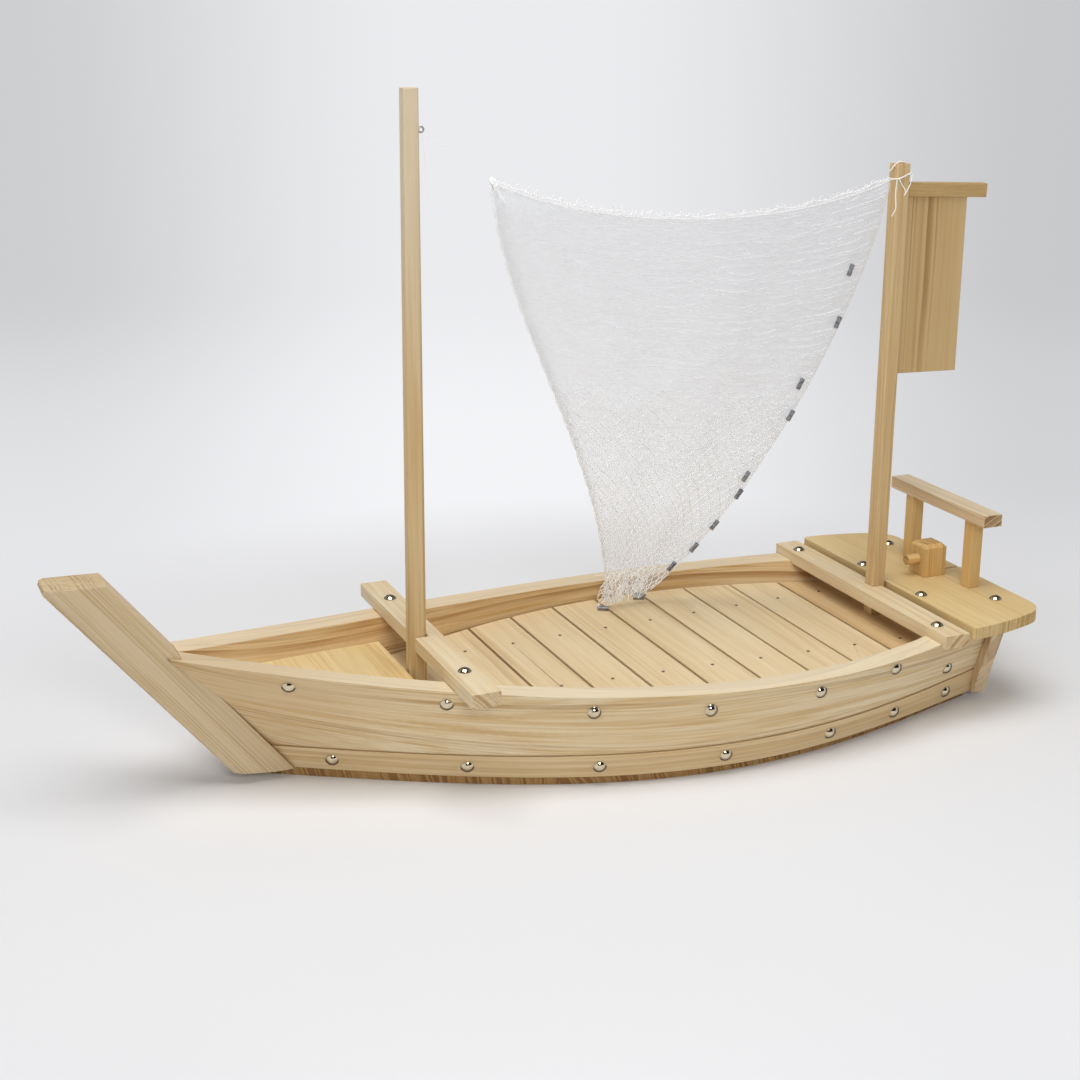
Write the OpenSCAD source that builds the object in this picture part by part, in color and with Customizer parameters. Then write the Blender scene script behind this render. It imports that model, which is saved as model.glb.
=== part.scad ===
// Wooden snack boat: a flat-bottomed serving boat with two masts, a hanging net and a stern deck.
// The bow points along -X and the keel line lies on Y = 0. The boat stands on Z = 0.

/* [Hull lines] */
// Fore end of the gunwale curve, from the middle of the boat
gunwale_bow_x = -270; // [-280:1:-262]
// Distance by which the gunwale curve runs on past the transom's foot
gunwale_tail = 6; // [4:0.5:8]
// Half breadth at the gunwale, first control point, at the bow
gunwale_bow_w = 19.4; // [17:0.2:22]
// Half breadth at the gunwale, second control point
gunwale_fore_w = 109; // [104:0.5:114]
// Half breadth at the gunwale, third control point
gunwale_aft_w = 182.5; // [178:0.5:187]
// Half breadth at the gunwale, last control point, at the stern
gunwale_stern_w = 91; // [88:0.5:94]
// Height of the sheer, first control point, at the bow
sheer_bow_h = 96.7; // [93:0.1:100]
// Height of the sheer, second control point
sheer_fore_h = 65.7; // [62:0.1:69]
// Height of the sheer, third control point
sheer_aft_h = 52.3; // [50:0.1:55]
// Height of the sheer, last control point, at the stern
sheer_stern_h = 68.5; // [66:0.1:71]
// Half breadth at the seam between the strakes, first control point, at the bow
seam_bow_w = -24; // [-26:0.5:-22]
// Half breadth at the seam, second control point
seam_fore_w = 57; // [54:0.5:60]
// Half breadth at the seam, middle control point
seam_middle_w = 189; // [185:0.5:193]
// Half breadth at the seam, fourth control point
seam_aft_w = 131; // [128:0.5:134]
// Half breadth at the seam, last control point, at the stern
seam_stern_w = 78; // [76:0.5:80]
// Half breadth at the lower strake's bottom, first control point, at the bow
chine_bow_w = -30; // [-32:0.5:-28]
// Half breadth at the lower strake's bottom, second control point
chine_fore_w = 44; // [41:0.5:47]
// Half breadth at the lower strake's bottom, middle control point
chine_middle_w = 191; // [187:0.5:195]
// Half breadth at the lower strake's bottom, fourth control point
chine_aft_w = 119; // [116:0.5:122]
// Half breadth at the lower strake's bottom, last control point, at the stern
chine_stern_w = 76; // [74:0.5:78]

/* [Planking] */
// Thickness of the side strakes, square to their run
strake_t = 19; // [16:0.5:22]
// Height of the seam between the strakes
seam_h = 24; // [21:0.5:27]
// Height of the bevel along the upper strake's lower edge
seam_bevel_h = 2.6; // [1:0.1:4]
// Depth of that bevel
seam_bevel_d = 1.6; // [0.5:0.1:2.5]
// Thickness of the bottom boards
bottom_t = 6; // [4:0.5:9]
// Amount by which the bottom boards stand in from the strakes at the stern
bottom_inset = 7; // [2:0.5:9]
// Joint between the fore and middle bottom boards
bottom_joint_fore = -37; // [-50:1:-20]
// Joint between the middle and aft bottom boards
bottom_joint_aft = 150; // [135:1:165]
// Gap left between pieces that meet
joint_gap = 0.1; // [0.05:0.05:0.3]

/* [Stem] */
// Thickness of the stem post across the boat
stem_w = 30; // [26:0.5:34]
// Depth of the stem post square to its rake
stem_d = 30.5; // [27:0.5:34]
// Rake of the stem post from the vertical, in degrees
stem_rake = 38.3; // [35:0.1:42]
// Distance from the gunwale curve's fore end back to the stem post's foot
stem_foot_back = 73; // [68:1:80]
// Height of the stem post's top
stem_h = 152; // [135:1:170]
// Length of the stem post's level seat on the bottom board
stem_seat_l = 14; // [8:0.5:18]
// Rise of the stem's foot towards its toe
stem_toe_rise = 3; // [1:0.5:5]
// Chamfer along the stem post's front edges
stem_chamfer = 4; // [2:0.5:6]
// Lap of the upper strakes over the stem's sides
stem_lap = 8; // [4:0.5:12]

/* [Transom] */
// Thickness of the transom board
transom_t = 10; // [7:0.5:13]
// Place of the transom's front face at its foot
transom_x = 306; // [303:0.5:309]
// Rake of the transom from the vertical, in degrees
transom_rake = 4; // [0:0.5:7]
// Half width of the transom at its foot
transom_foot_w = 81.5; // [80:0.5:90]
// Half width of the transom under the stern deck
transom_top_w = 98; // [96:0.5:110]

/* [Deck] */
// Height of the deck slats' top
deck_h = 48.4; // [46:0.2:52]
// Distance from the last slat's place to the transom's foot
slat_stern_gap = 31.6; // [30:0.2:34]
// Distance by which the first slat's place starts ahead of the fore beam
slat_fore_lap = 2.6; // [1:0.1:3.4]
// Gap between two slats
slat_gap = 2.2; // [1:0.1:4]
// Thickness of the slats
slat_t = 7; // [5:0.5:9]
// Clearance between slat ends and the strakes
slat_end_gap = 1.2; // [0.5:0.1:3]
// Half distance between the deck bearers at the first full slat
bearer_fore_y = 42.8; // [38:0.1:46]
// Half distance between the deck bearers at the last full slat
bearer_aft_y = 57.4; // [52:0.1:62]
// Width of a deck bearer
bearer_w = 12; // [8:0.5:16]
// Height of the foredeck's top at its rear edge
foredeck_h = 59.4; // [57:0.2:62]
// Rise of the foredeck towards the bow, in degrees
foredeck_rise = 8; // [4:0.5:10]
// Thickness of the foredeck
foredeck_t = 7; // [5:0.5:9]
// Clearance between the foredeck and the strakes
foredeck_gap = 0.4; // [0.2:0.1:1]
// Distance from the foredeck's rear edge to the fore mast's front
foredeck_mast_gap = 1.2; // [0.7:0.1:10]

/* [Beams] */
// Width of the beams along the boat
beam_w = 20; // [16:0.5:24]
// Thickness of the beams
beam_t = 10; // [8:0.5:13]
// Distance from the gunwale curve's fore end back to the fore beam
fore_beam_back = 163; // [162:0.5:164]
// Underside of the fore beam
fore_beam_h = 74.5; // [73:0.5:76]
// Half length of the fore beam
fore_beam_l = 118; // [105:1:125]
// Distance from the aft beam's front face to the transom's foot
aft_beam_in = 55; // [54:0.5:57]
// Underside of the aft beam
aft_beam_h = 61.5; // [60:0.5:62]
// Half length of the aft beam
aft_beam_l = 119; // [114:1:126]

/* [Stern deck] */
// Gap between the aft beam and the stern deck
stern_deck_gap = 5; // [4:0.5:8]
// Length of the stern deck along the boat
stern_deck_l = 73; // [71:0.5:78]
// Half width of the stern deck at its front edge
stern_deck_w = 118; // [114:0.5:122]
// Radius of the stern deck's curved sides
stern_side_r = 200; // [180:5:260]
// Radius of the stern deck's aft corners
stern_corner_r = 22; // [12:0.5:22]
// Thickness of the stern deck
stern_deck_t = 9; // [7:0.5:12]
// Underside of the stern deck
stern_deck_h = 65; // [64:0.5:67]
// Width of the rudder slot in the stern deck's aft edge
rudder_slot_w = 1.6; // [1:0.1:4]
// Length of the rudder slot
rudder_slot_l = 27; // [15:1:28]
// Place of the rudder slot across the boat
rudder_slot_y = 3; // [-4:0.5:4]

/* [Rail and bollard] */
// Width of the rail along the boat
rail_w = 16; // [13:0.5:20]
// Thickness of the rail
rail_t = 9.4; // [8:0.2:12]
// Half length of the rail
rail_l = 61; // [52:1:70]
// Distance from the rail's centre to the stern deck's aft edge
rail_in = 20.5; // [17:0.5:23]
// Height of the rail's underside above the stern deck
rail_rise = 52.8; // [40:0.2:60]
// Side of the square rail posts
post_w = 10; // [8:0.5:13]
// Half distance between the rail posts' centres
post_y = 38.6; // [34:0.2:46]
// Side of the square bollard block
block_w = 19.6; // [16:0.2:22]
// Distance from the bollard block's centre to the rail's centre
block_ahead = 11.9; // [10.5:0.1:16]
// Height of the bollard block
block_h = 26; // [20:0.5:32]
// Chamfer round the bollard block's top
block_chamfer = 3; // [1:0.5:5]
// Diameter of the bollard's pin
pin_d = 8; // [5:0.2:10]
// Length of the pin that stands out of the block
pin_out = 10.5; // [6:0.5:16]
// Depth of the pin in the block
pin_depth = 11; // [6:0.5:14]
// Height of the pin's axis above the stern deck
pin_rise = 13; // [10:0.5:16]

/* [Masts] */
// Side of the fore mast at its foot
fore_mast_w = 13.2; // [12:0.2:15]
// Side of the fore mast at its top
fore_mast_top_w = 10; // [8:0.2:12]
// Distance by which the fore mast's foot stands proud of the beam
fore_mast_proud = 4; // [2:0.2:4.4]
// Lean of the fore mast towards the stern, in degrees
fore_mast_lean = 0.5; // [0:0.1:1.2]
// Height of the fore mast's top above the ground
fore_mast_h = 450; // [420:1:480]
// Side of the aft mast
aft_mast_w = 11; // [9:0.2:12]
// Height of the aft mast's top above the ground
aft_mast_h = 389.5; // [384:0.5:410]
// Distance from the aft beam's front face to the aft mast's centre
aft_mast_back = 18; // [15:0.5:18.5]
// Chamfer along the fore mast's edges at its foot
fore_mast_chamfer = 3.7; // [2:0.1:4.5]
// Chamfer along the fore mast's edges at its top
fore_mast_top_chamfer = 0.8; // [0.4:0.1:2]
// Chamfer along the aft mast's edges
aft_mast_chamfer = 0.6; // [0.3:0.1:2]
// Clearance between a mast and its notch
notch_gap = 0.3; // [0.1:0.1:0.8]

/* [Sail] */
// Length of the yard
yard_l = 63; // [52:1:76]
// Thickness of the yard
yard_t = 10; // [8:0.5:12]
// Width of the yard across the boat
yard_w = 9; // [7:0.5:11]
// Distance from the aft mast's top down to the yard's underside
yard_drop = 23.5; // [16:0.5:40]
// Droop of the yard towards its free end, in degrees
yard_droop = 2; // [0:0.5:4]
// Turn of the sail about the mast, in degrees
sail_turn = 8; // [0:0.5:15]
// Width of the sail board
sail_w = 47.5; // [36:0.5:50]
// Length of the sail board below the yard
sail_l = 129.8; // [110:0.2:150]
// Thickness of the sail board
sail_t = 5; // [3:0.5:7]
// Gap between the sail board and the mast
sail_gap = 1.2; // [0.6:0.2:3]
// Depth of the groove in the yard that holds the board
sail_groove = 3; // [1:0.5:5]

/* [Nails] */
// Diameter of the domed nail heads
nail_head_d = 9.5; // [7:0.1:12]
// Height of the domed nail heads
nail_head_h = 2.8; // [2:0.1:4]
// Diameter of the nail shanks
nail_shank_d = 1.8; // [1.2:0.1:2.4]
// Length of the nail shanks
nail_shank_l = 8; // [4:0.5:9]
// Diameter of the slat pins' heads
slat_pin_d = 2.4; // [1.6:0.1:3.2]
// Diameter of the slat pins' shanks
slat_pin_shank_d = 1.2; // [0.8:0.1:1.6]
// Length of the slat pins
slat_pin_l = 16; // [12:0.5:20]
// Clearance round a shank in its hole
hole_gap = 0.1; // [0.05:0.05:0.2]

/* [Rig] */
// Wire of the screw eye
eye_wire = 1.1; // [0.8:0.1:1.4]
// Outer diameter of the screw eye's ring
eye_d = 4.6; // [4.2:0.2:7]
// Distance from the fore mast's top down to the screw eye
eye_drop = 26; // [10:1:40]
// Depth of the screw eye in the mast
eye_depth = 5; // [3:0.5:6]
// Thickness of the net between its cords
net_t = 1.0; // [0.8:0.1:1.6]
// Height of the net's cord ridges
net_ridge = 0.5; // [0.2:0.1:1]
// Share of each net cell that is open
net_open = 0.62; // [0.4:0.02:0.8]
// Lean of the net towards the far side, as run over rise
net_lean = 0.28; // [0.2:0.01:0.3]
// Depth of the net's gathers at its foot
net_gather = 5; // [1:0.5:7]
// Number of gathers across the net
net_gathers = 3; // [2:1:5]
// Diameter of the lead sinkers
sinker_d = 3.4; // [2.6:0.1:4.2]
// Length of the lead sinkers
sinker_l = 8.6; // [6:0.2:12]
// Clearance between the net and a sinker
sinker_gap = 0.4; // [0.3:0.1:0.5]

/* [Hidden] */
slat_n = 9;
gunwale_stern_x = transom_x + gunwale_tail;
stem_foot_x = gunwale_bow_x + stem_foot_back;
fore_beam_x = gunwale_bow_x + fore_beam_back;
aft_beam_x = transom_x - aft_beam_in;
aft_mast_x = aft_beam_x + aft_mast_back;
stern_deck_x = aft_beam_x + beam_w + stern_deck_gap;
rail_x = stern_deck_x + stern_deck_l - rail_in;
block_x = rail_x - block_ahead;
foredeck_rear_x = fore_beam_x - fore_mast_proud - foredeck_mast_gap;
slat_fore_x = fore_beam_x - slat_fore_lap;
slat_pitch = (transom_x - slat_stern_gap - slat_fore_x) / (slat_n + 1);
slat_first_x = slat_fore_x + 1.5 * slat_pitch;
eye_h = fore_mast_h - eye_drop;
yard_h = aft_mast_h - yard_drop;
gunwale_y = [gunwale_bow_w, gunwale_fore_w, gunwale_aft_w, gunwale_stern_w];
sheer_z = [sheer_bow_h, sheer_fore_h, sheer_aft_h, sheer_stern_h];
seam_y = [seam_bow_w, seam_fore_w, seam_middle_w, seam_aft_w, seam_stern_w];
chine_y = [chine_bow_w, chine_fore_w, chine_middle_w, chine_aft_w, chine_stern_w];
big = 900;

pine = [0.86, 0.74, 0.52];
pine_pale = [0.89, 0.79, 0.60];
pine_warm = [0.80, 0.64, 0.40];
steel_bright = [0.74, 0.71, 0.62];
lead_grey = [0.45, 0.46, 0.48];
cord_white = [0.95, 0.95, 0.94];

// Hull lines. Each is a smooth curve over the boat's length, and t is the place along it.
function bezier(c, t) = len(c) == 1 ? c[0]
  : bezier([for (i = [0 : len(c) - 2]) c[i] * (1 - t) + c[i + 1] * t], t);
function hull_t(x) = (x - gunwale_bow_x) / (gunwale_stern_x - gunwale_bow_x);
function sheer(x) = bezier(sheer_z, hull_t(x));
function gunwale(x) = bezier(gunwale_y, hull_t(x));
function seam(x) = bezier(seam_y, hull_t(x));
function chine(x) = bezier(chine_y, hull_t(x));
function side_y(x, z) = z > seam_h
  ? seam(x) + (gunwale(x) - seam(x)) * (z - seam_h) / (sheer(x) - seam_h)
  : chine(x) + (seam(x) - chine(x)) * (z - bottom_t) / (seam_h - bottom_t);
function plan_slope(x) = (gunwale(x + 1) - gunwale(x - 1)) / 2;
function wall_y(x) = strake_t * sqrt(1 + pow(plan_slope(x), 2));
function inner_y(x, z) = side_y(x, z) - wall_y(x);
function stem_aft_x(z) = stem_foot_x - (z - bottom_t) * tan(stem_rake);
function transom_front_x(z) = transom_x + (z - bottom_t) * tan(transom_rake);

stations = 72;
strake_fore_x = gunwale_bow_x - 6;
strake_aft_x = gunwale_stern_x + 8;
function station_x(i) = strake_fore_x + (strake_aft_x - strake_fore_x) * i / stations;

hull_l = gunwale_stern_x - gunwale_bow_x;
upper_nails_x = [for (t = [0.11, 0.2722, 0.4296, 0.5646, 0.7079, 0.8206, 0.9254]) gunwale_bow_x + t * hull_l];
upper_nails_h = [77.4, 65.3, 56.4, 51.1, 51.6, 55.4, 37.6];
lower_nails_x = [for (t = [0.1636, 0.3007, 0.4405, 0.5887, 0.734, 0.8404, 0.9375]) gunwale_bow_x + t * hull_l];
lower_nails_h = 14.6;
beam_nail_fore_y = 77.4;
beam_nail_aft_y = 96;
stern_nails = [[6.5, -42], [52.5, -71], [6, 37], [55, 75]];

mast_seat_h = bottom_t + joint_gap;
fore_mast_x = fore_beam_x - fore_mast_proud + fore_mast_w / 2;
fore_notch_w = fore_mast_w + 2 * notch_gap;
fore_mast_aft_x = fore_mast_aft(eye_h);
function fore_mast_shift(z) = (z - mast_seat_h) * tan(fore_mast_lean);
function fore_mast_aft(z) = fore_mast_x + fore_mast_shift(z) + fore_mast_w_at(z) / 2;
aft_mast_front_x = aft_mast_x - aft_mast_w / 2;
aft_mast_rear_x = aft_mast_x + aft_mast_w / 2;
stern_top_h = stern_deck_h + stern_deck_t;
rail_h = stern_top_h + rail_rise;
eye_neck = 0.5;
eye_x = fore_mast_aft_x + eye_neck + eye_d / 2;
function fore_mast_w_at(z) =
  fore_mast_w + (fore_mast_top_w - fore_mast_w) * (z - mast_seat_h) / (fore_mast_h - mast_seat_h);
function bearer_y(x) = bearer_fore_y
  + (bearer_aft_y - bearer_fore_y) * (x - slat_first_x) / ((slat_n - 1) * slat_pitch);
function slat_x(k) = slat_first_x + (k - 1) * slat_pitch;
slat_w = slat_pitch - slat_gap;
deck_bottom_h = deck_h - slat_t;

// Net: top edge, fore edge and aft edge as cubic curves in X and Z, leaning towards the far side.
net_rows = 12;
net_cols = 10;
net_corner_gap = 2;
net_top_aft_x = aft_mast_front_x - net_corner_gap;
net_foot_h = deck_h + net_t + net_ridge + 2.2;
net_fore_h = eye_h - 35;
net_aft_h = aft_mast_h - 11.5;
net_fore = [[-46, net_fore_h], [-36, 300], [70, 174], [82, net_foot_h]];
net_aft = [[net_top_aft_x, net_aft_h], [net_top_aft_x, 280], [200, 120], [112, net_foot_h]];
net_top = [[-46, net_fore_h], [30, 354], [170, 343], [net_top_aft_x, net_aft_h]];
net_upright_h = 372;
function net_xz(s, t) = let (a = bezier(net_fore, t), b = bezier(net_aft, t), top = bezier(net_top, s),
  line = net_fore[0] * (1 - s) + net_aft[0] * s) a * (1 - s) + b * s + (top - line) * pow(1 - t, 2);
function net_y(s, t, z) = net_lean * max(0, net_upright_h - z)
  + net_gather * t * (1 - t / 2) * sin(360 * net_gathers * s);
function net_pt(s, t, off) = let (q = net_xz(s, t)) [q[0], net_y(s, t, q[1]) + off, q[1]];

// Hull planking.
module strake_loft(low, high, bevel) {
  sections = [for (i = [0 : stations]) let (x = station_x(i), w = wall_y(x),
    zl = low ? bottom_t : seam_h, zh = low ? seam_h : sheer(x))
    [[x, side_y(x, zl) - (bevel ? seam_bevel_d : 0), zl + joint_gap / 2],
     [x, side_y(x, zl + (bevel ? seam_bevel_h : 1)), zl + (bevel ? seam_bevel_h : 1)],
     [x, side_y(x, zh), zh - (low ? joint_gap / 2 : 0)],
     [x, side_y(x, zh) - w, zh - (low ? joint_gap / 2 : 0)],
     [x, side_y(x, zl) - w, zl + joint_gap / 2]]];
  n = 5;
  pts = [for (s = sections) for (p = s) p];
  sides = [for (i = [0 : stations - 1]) for (j = [0 : n - 1]) let (a = i * n + j, b = i * n + (j + 1) % n)
    each [[a, b, a + n], [b, b + n, a + n]]];
  polyhedron(pts, concat(sides, [[4, 3, 2, 1, 0]], [[for (j = [0 : n - 1]) stations * n + j]]));
}
module ahead_of_transom() {
  translate([transom_x - joint_gap, 0, bottom_t])
    rotate([0, transom_rake, 0])
      translate([-big, -big / 2, -big / 2]) cube([big, big, big]);
}
module behind_stem(lap) {
  translate([stem_foot_x - lap, 0, bottom_t])
    rotate([0, -stem_rake, 0])
      translate([0, -big / 2, -big / 2]) cube([big, big, big]);
}
module starboard_side() {
  translate([-big / 2, joint_gap / 2, 0]) cube([big, big / 2, big / 2]);
}
module beam_seats() {
  translate([fore_beam_x - joint_gap, -big / 2, fore_beam_h - joint_gap])
    cube([beam_w + 2 * joint_gap, big, big]);
  translate([aft_beam_x - joint_gap, -big / 2, aft_beam_h - joint_gap])
    cube([beam_w + 2 * joint_gap, big, big]);
  translate([aft_beam_x + beam_w, -big / 2, stern_deck_h - joint_gap]) cube([big, big, big]);
}
module nail_frame(x, z) {
  y = side_y(x, z);
  turn = atan(plan_slope(x));
  flare = atan(side_y(x, z + 1) - y);
  translate([x, y, z]) rotate([0, 0, turn]) rotate([-90 - flare, 0, 0]) children();
}
module nail_holes(xs, hs) {
  for (i = [0 : len(xs) - 1]) nail_frame(xs[i], is_list(hs) ? hs[i] : hs)
    translate([0, 0, -nail_shank_l - hole_gap])
      cylinder(d = nail_shank_d + 2 * hole_gap, h = nail_shank_l + 4, $fn = 16);
}
module domed_nail() {
  r = (pow(nail_head_d / 2, 2) + pow(nail_head_h, 2)) / (2 * nail_head_h);
  rotate_extrude($fn = 40) {
    intersection() {
      translate([0, nail_head_h - r]) circle(r = r, $fn = 60);
      translate([0, 0.35]) square([nail_head_d, nail_head_h]);
    }
    translate([0, -nail_shank_l]) square([nail_shank_d / 2, nail_shank_l + 0.5]);
  }
}
module upper_strake() {
  difference() {
    intersection() {
      strake_loft(false, true, true);
      ahead_of_transom();
      behind_stem(stem_lap);
      starboard_side();
    }
    stem_bar(joint_gap);
    beam_seats();
    nail_holes(upper_nails_x, upper_nails_h);
  }
}
module lower_strake() {
  difference() {
    intersection() {
      strake_loft(true, false, false);
      ahead_of_transom();
      behind_stem(-joint_gap);
      starboard_side();
    }
    nail_holes(lower_nails_x, lower_nails_h);
  }
}
module starboard_upper_strake() { color(pine) upper_strake(); }
module port_upper_strake() { color(pine) mirror([0, 1, 0]) upper_strake(); }
module starboard_lower_strake() { color(pine_pale) lower_strake(); }
module port_lower_strake() { color(pine_pale) mirror([0, 1, 0]) lower_strake(); }

// Stem post, as a raked square bar with its front edges chamfered.
module stem_bar(gap) {
  half = stem_w / 2 + gap;
  run = stem_d / cos(stem_rake);
  top_x = stem_aft_x(stem_h);
  difference() {
    rotate([90, 0, 0]) translate([0, 0, -half]) linear_extrude(height = 2 * half)
      polygon([[stem_foot_x + gap, bottom_t + joint_gap], [top_x + gap, stem_h],
        [top_x - run + 1, stem_h + 1], [top_x - run, stem_h - 2],
        [stem_foot_x - run - stem_toe_rise * tan(stem_rake), bottom_t + stem_toe_rise],
        [stem_foot_x - stem_seat_l, bottom_t + joint_gap]]);
    for (side = [-1, 1]) translate([stem_foot_x - run, side * half, bottom_t])
      rotate([0, -stem_rake, 0]) rotate([0, 0, 45])
        translate([-stem_chamfer / sqrt(2), -stem_chamfer / sqrt(2), -big / 2])
          cube([stem_chamfer * sqrt(2), stem_chamfer * sqrt(2), big]);
  }
}
module stem_post() { color(pine_pale) stem_bar(0); }

// Bottom boards, laid across the boat and cut to the chine.
function bottom_y(x) = max(1.2, chine(x) - bottom_inset * max(0, hull_t(x)));
module bottom_board(x0, x1) {
  steps = max(4, round((x1 - x0) / 9));
  edge = [for (i = [0 : steps]) let (x = x0 + (x1 - x0) * i / steps) [x, bottom_y(x)]];
  linear_extrude(height = bottom_t)
    polygon(concat(edge, [for (i = [steps : -1 : 0]) [edge[i][0], -edge[i][1]]]));
}
bottom_nose_x = stem_foot_x - stem_seat_l;
bottom_aft_x = transom_x - joint_gap - bottom_t * tan(transom_rake);
module bottom_board_fore() {
  color(pine_warm) bottom_board(bottom_nose_x, bottom_joint_fore - joint_gap / 2);
}
module bottom_board_mid() {
  color(pine_warm) bottom_board(bottom_joint_fore + joint_gap / 2, bottom_joint_aft - joint_gap / 2);
}
module bottom_board_aft() { color(pine_warm) bottom_board(bottom_joint_aft + joint_gap / 2, bottom_aft_x); }

module transom() {
  top = (stern_deck_h - joint_gap - bottom_t) / cos(transom_rake);
  foot = joint_gap;
  color(pine) intersection() {
    translate([transom_x, 0, bottom_t]) rotate([0, transom_rake, 0]) rotate([90, 0, 90])
      linear_extrude(height = transom_t)
        polygon([[-transom_foot_w, foot], [transom_foot_w, foot], [transom_top_w, top + 2],
          [-transom_top_w, top + 2]]);
    translate([-big / 2, -big / 2, 0]) cube([big, big, stern_deck_h - joint_gap]);
  }
}

// Deck: slats whose ends follow the planking, on two bearers that spread towards the stern.
module deck_piece(x0, x1, z, t, end_gap) {
  steps = max(2, round((x1 - x0) / 18));
  edge = [for (i = [0 : steps]) let (x = x0 + (x1 - x0) * i / steps) [x, inner_y(x, z) - end_gap]];
  translate([0, 0, z]) linear_extrude(height = t)
    polygon(concat(edge, [for (i = [steps : -1 : 0]) [edge[i][0], -edge[i][1]]]));
}
module slat_pin_holes(x) {
  for (side = [-1, 1]) translate([x, side * bearer_y(x), deck_h - slat_pin_l - hole_gap])
    cylinder(d = slat_pin_shank_d + 2 * hole_gap, h = slat_pin_l + 2, $fn = 16);
}
module deck_slat(k) {
  color(pine_pale) difference() {
    deck_piece(slat_x(k) - slat_w / 2, slat_x(k) + slat_w / 2, deck_bottom_h, slat_t, slat_end_gap);
    slat_pin_holes(slat_x(k));
    if (k == 0) translate([-big, -fore_notch_w / 2, 0])
      cube([big + fore_mast_aft(deck_h) + notch_gap, fore_notch_w, deck_h + 1]);
  }
}
module deck_slat_0() { deck_slat(0); }
module deck_slat_1() { deck_slat(1); }
module deck_slat_2() { deck_slat(2); }
module deck_slat_3() { deck_slat(3); }
module deck_slat_4() { deck_slat(4); }
module deck_slat_5() { deck_slat(5); }
module deck_slat_6() { deck_slat(6); }
module deck_slat_7() { deck_slat(7); }
module deck_slat_8() { deck_slat(8); }
module deck_slat_9() { deck_slat(9); }
module starboard_bearer_solid() {
  x0 = slat_x(0) - slat_w / 4;
  x1 = slat_x(slat_n) + slat_w / 2;
  difference() {
    translate([0, 0, bottom_t + joint_gap])
      linear_extrude(height = deck_bottom_h - bottom_t - 2 * joint_gap)
        polygon([[x0, bearer_y(x0) - bearer_w / 2], [x1, bearer_y(x1) - bearer_w / 2],
          [x1, bearer_y(x1) + bearer_w / 2], [x0, bearer_y(x0) + bearer_w / 2]]);
    for (k = [0 : slat_n]) slat_pin_holes(slat_x(k));
  }
}
module starboard_bearer() { color(pine_warm) starboard_bearer_solid(); }
module port_bearer() { color(pine_warm) mirror([0, 1, 0]) starboard_bearer_solid(); }
function foredeck_z(x) = foredeck_h + (foredeck_rear_x - x) * tan(foredeck_rise);
function foredeck_nose(x) =
  inner_y(x, foredeck_z(x) - foredeck_t) >= 2 ? x : foredeck_nose(x + 0.5);
module foredeck() {
  x0 = foredeck_nose(stem_aft_x(foredeck_h) + 1);
  steps = 14;
  corners = [for (i = [0 : steps]) let (x = x0 + (foredeck_rear_x - x0) * i / steps, z = foredeck_z(x),
    low = inner_y(x, z - foredeck_t) - foredeck_gap, high = inner_y(x, z) - foredeck_gap)
    each [[x, -low, z - foredeck_t], [x, low, z - foredeck_t], [x, high, z], [x, -high, z]]];
  sides = [for (i = [0 : steps - 1]) for (j = [0 : 3]) let (a = 4 * i + j, b = 4 * i + (j + 1) % 4)
    each [[a, b, a + 4], [b, b + 4, a + 4]]];
  color(pine) polyhedron(corners, concat(sides, [[3, 2, 1, 0]], [[for (j = [0 : 3]) 4 * steps + j]]));
}

// Beams across the gunwales, each notched for its mast.
module head_holes(points, top) {
  for (p = points) translate([p[0], p[1], top - nail_shank_l - hole_gap])
    cylinder(d = nail_shank_d + 2 * hole_gap, h = nail_shank_l + 4, $fn = 16);
}
module fore_beam() {
  color(pine) difference() {
    translate([fore_beam_x, -fore_beam_l, fore_beam_h]) cube([beam_w, 2 * fore_beam_l, beam_t]);
    translate([fore_beam_x - 1, -fore_notch_w / 2, fore_beam_h - 1])
      cube([fore_mast_aft(fore_beam_h + beam_t) + notch_gap - fore_beam_x + 1, fore_notch_w, beam_t + 2]);
    head_holes([for (y = [-1, 1] * beam_nail_fore_y) [fore_beam_x + beam_w / 2, y]],
      fore_beam_h + beam_t);
  }
}
module aft_beam() {
  notch_w = aft_mast_w + 2 * notch_gap;
  color(pine) difference() {
    translate([aft_beam_x, -aft_beam_l, aft_beam_h]) cube([beam_w, 2 * aft_beam_l, beam_t]);
    translate([aft_mast_front_x - notch_gap, -notch_w / 2, aft_beam_h - 1])
      cube([beam_w, notch_w, beam_t + 2]);
    head_holes([for (y = [-1, 1] * beam_nail_aft_y) [aft_beam_x + beam_w / 2 - 2, y]],
      aft_beam_h + beam_t);
  }
}

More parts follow.
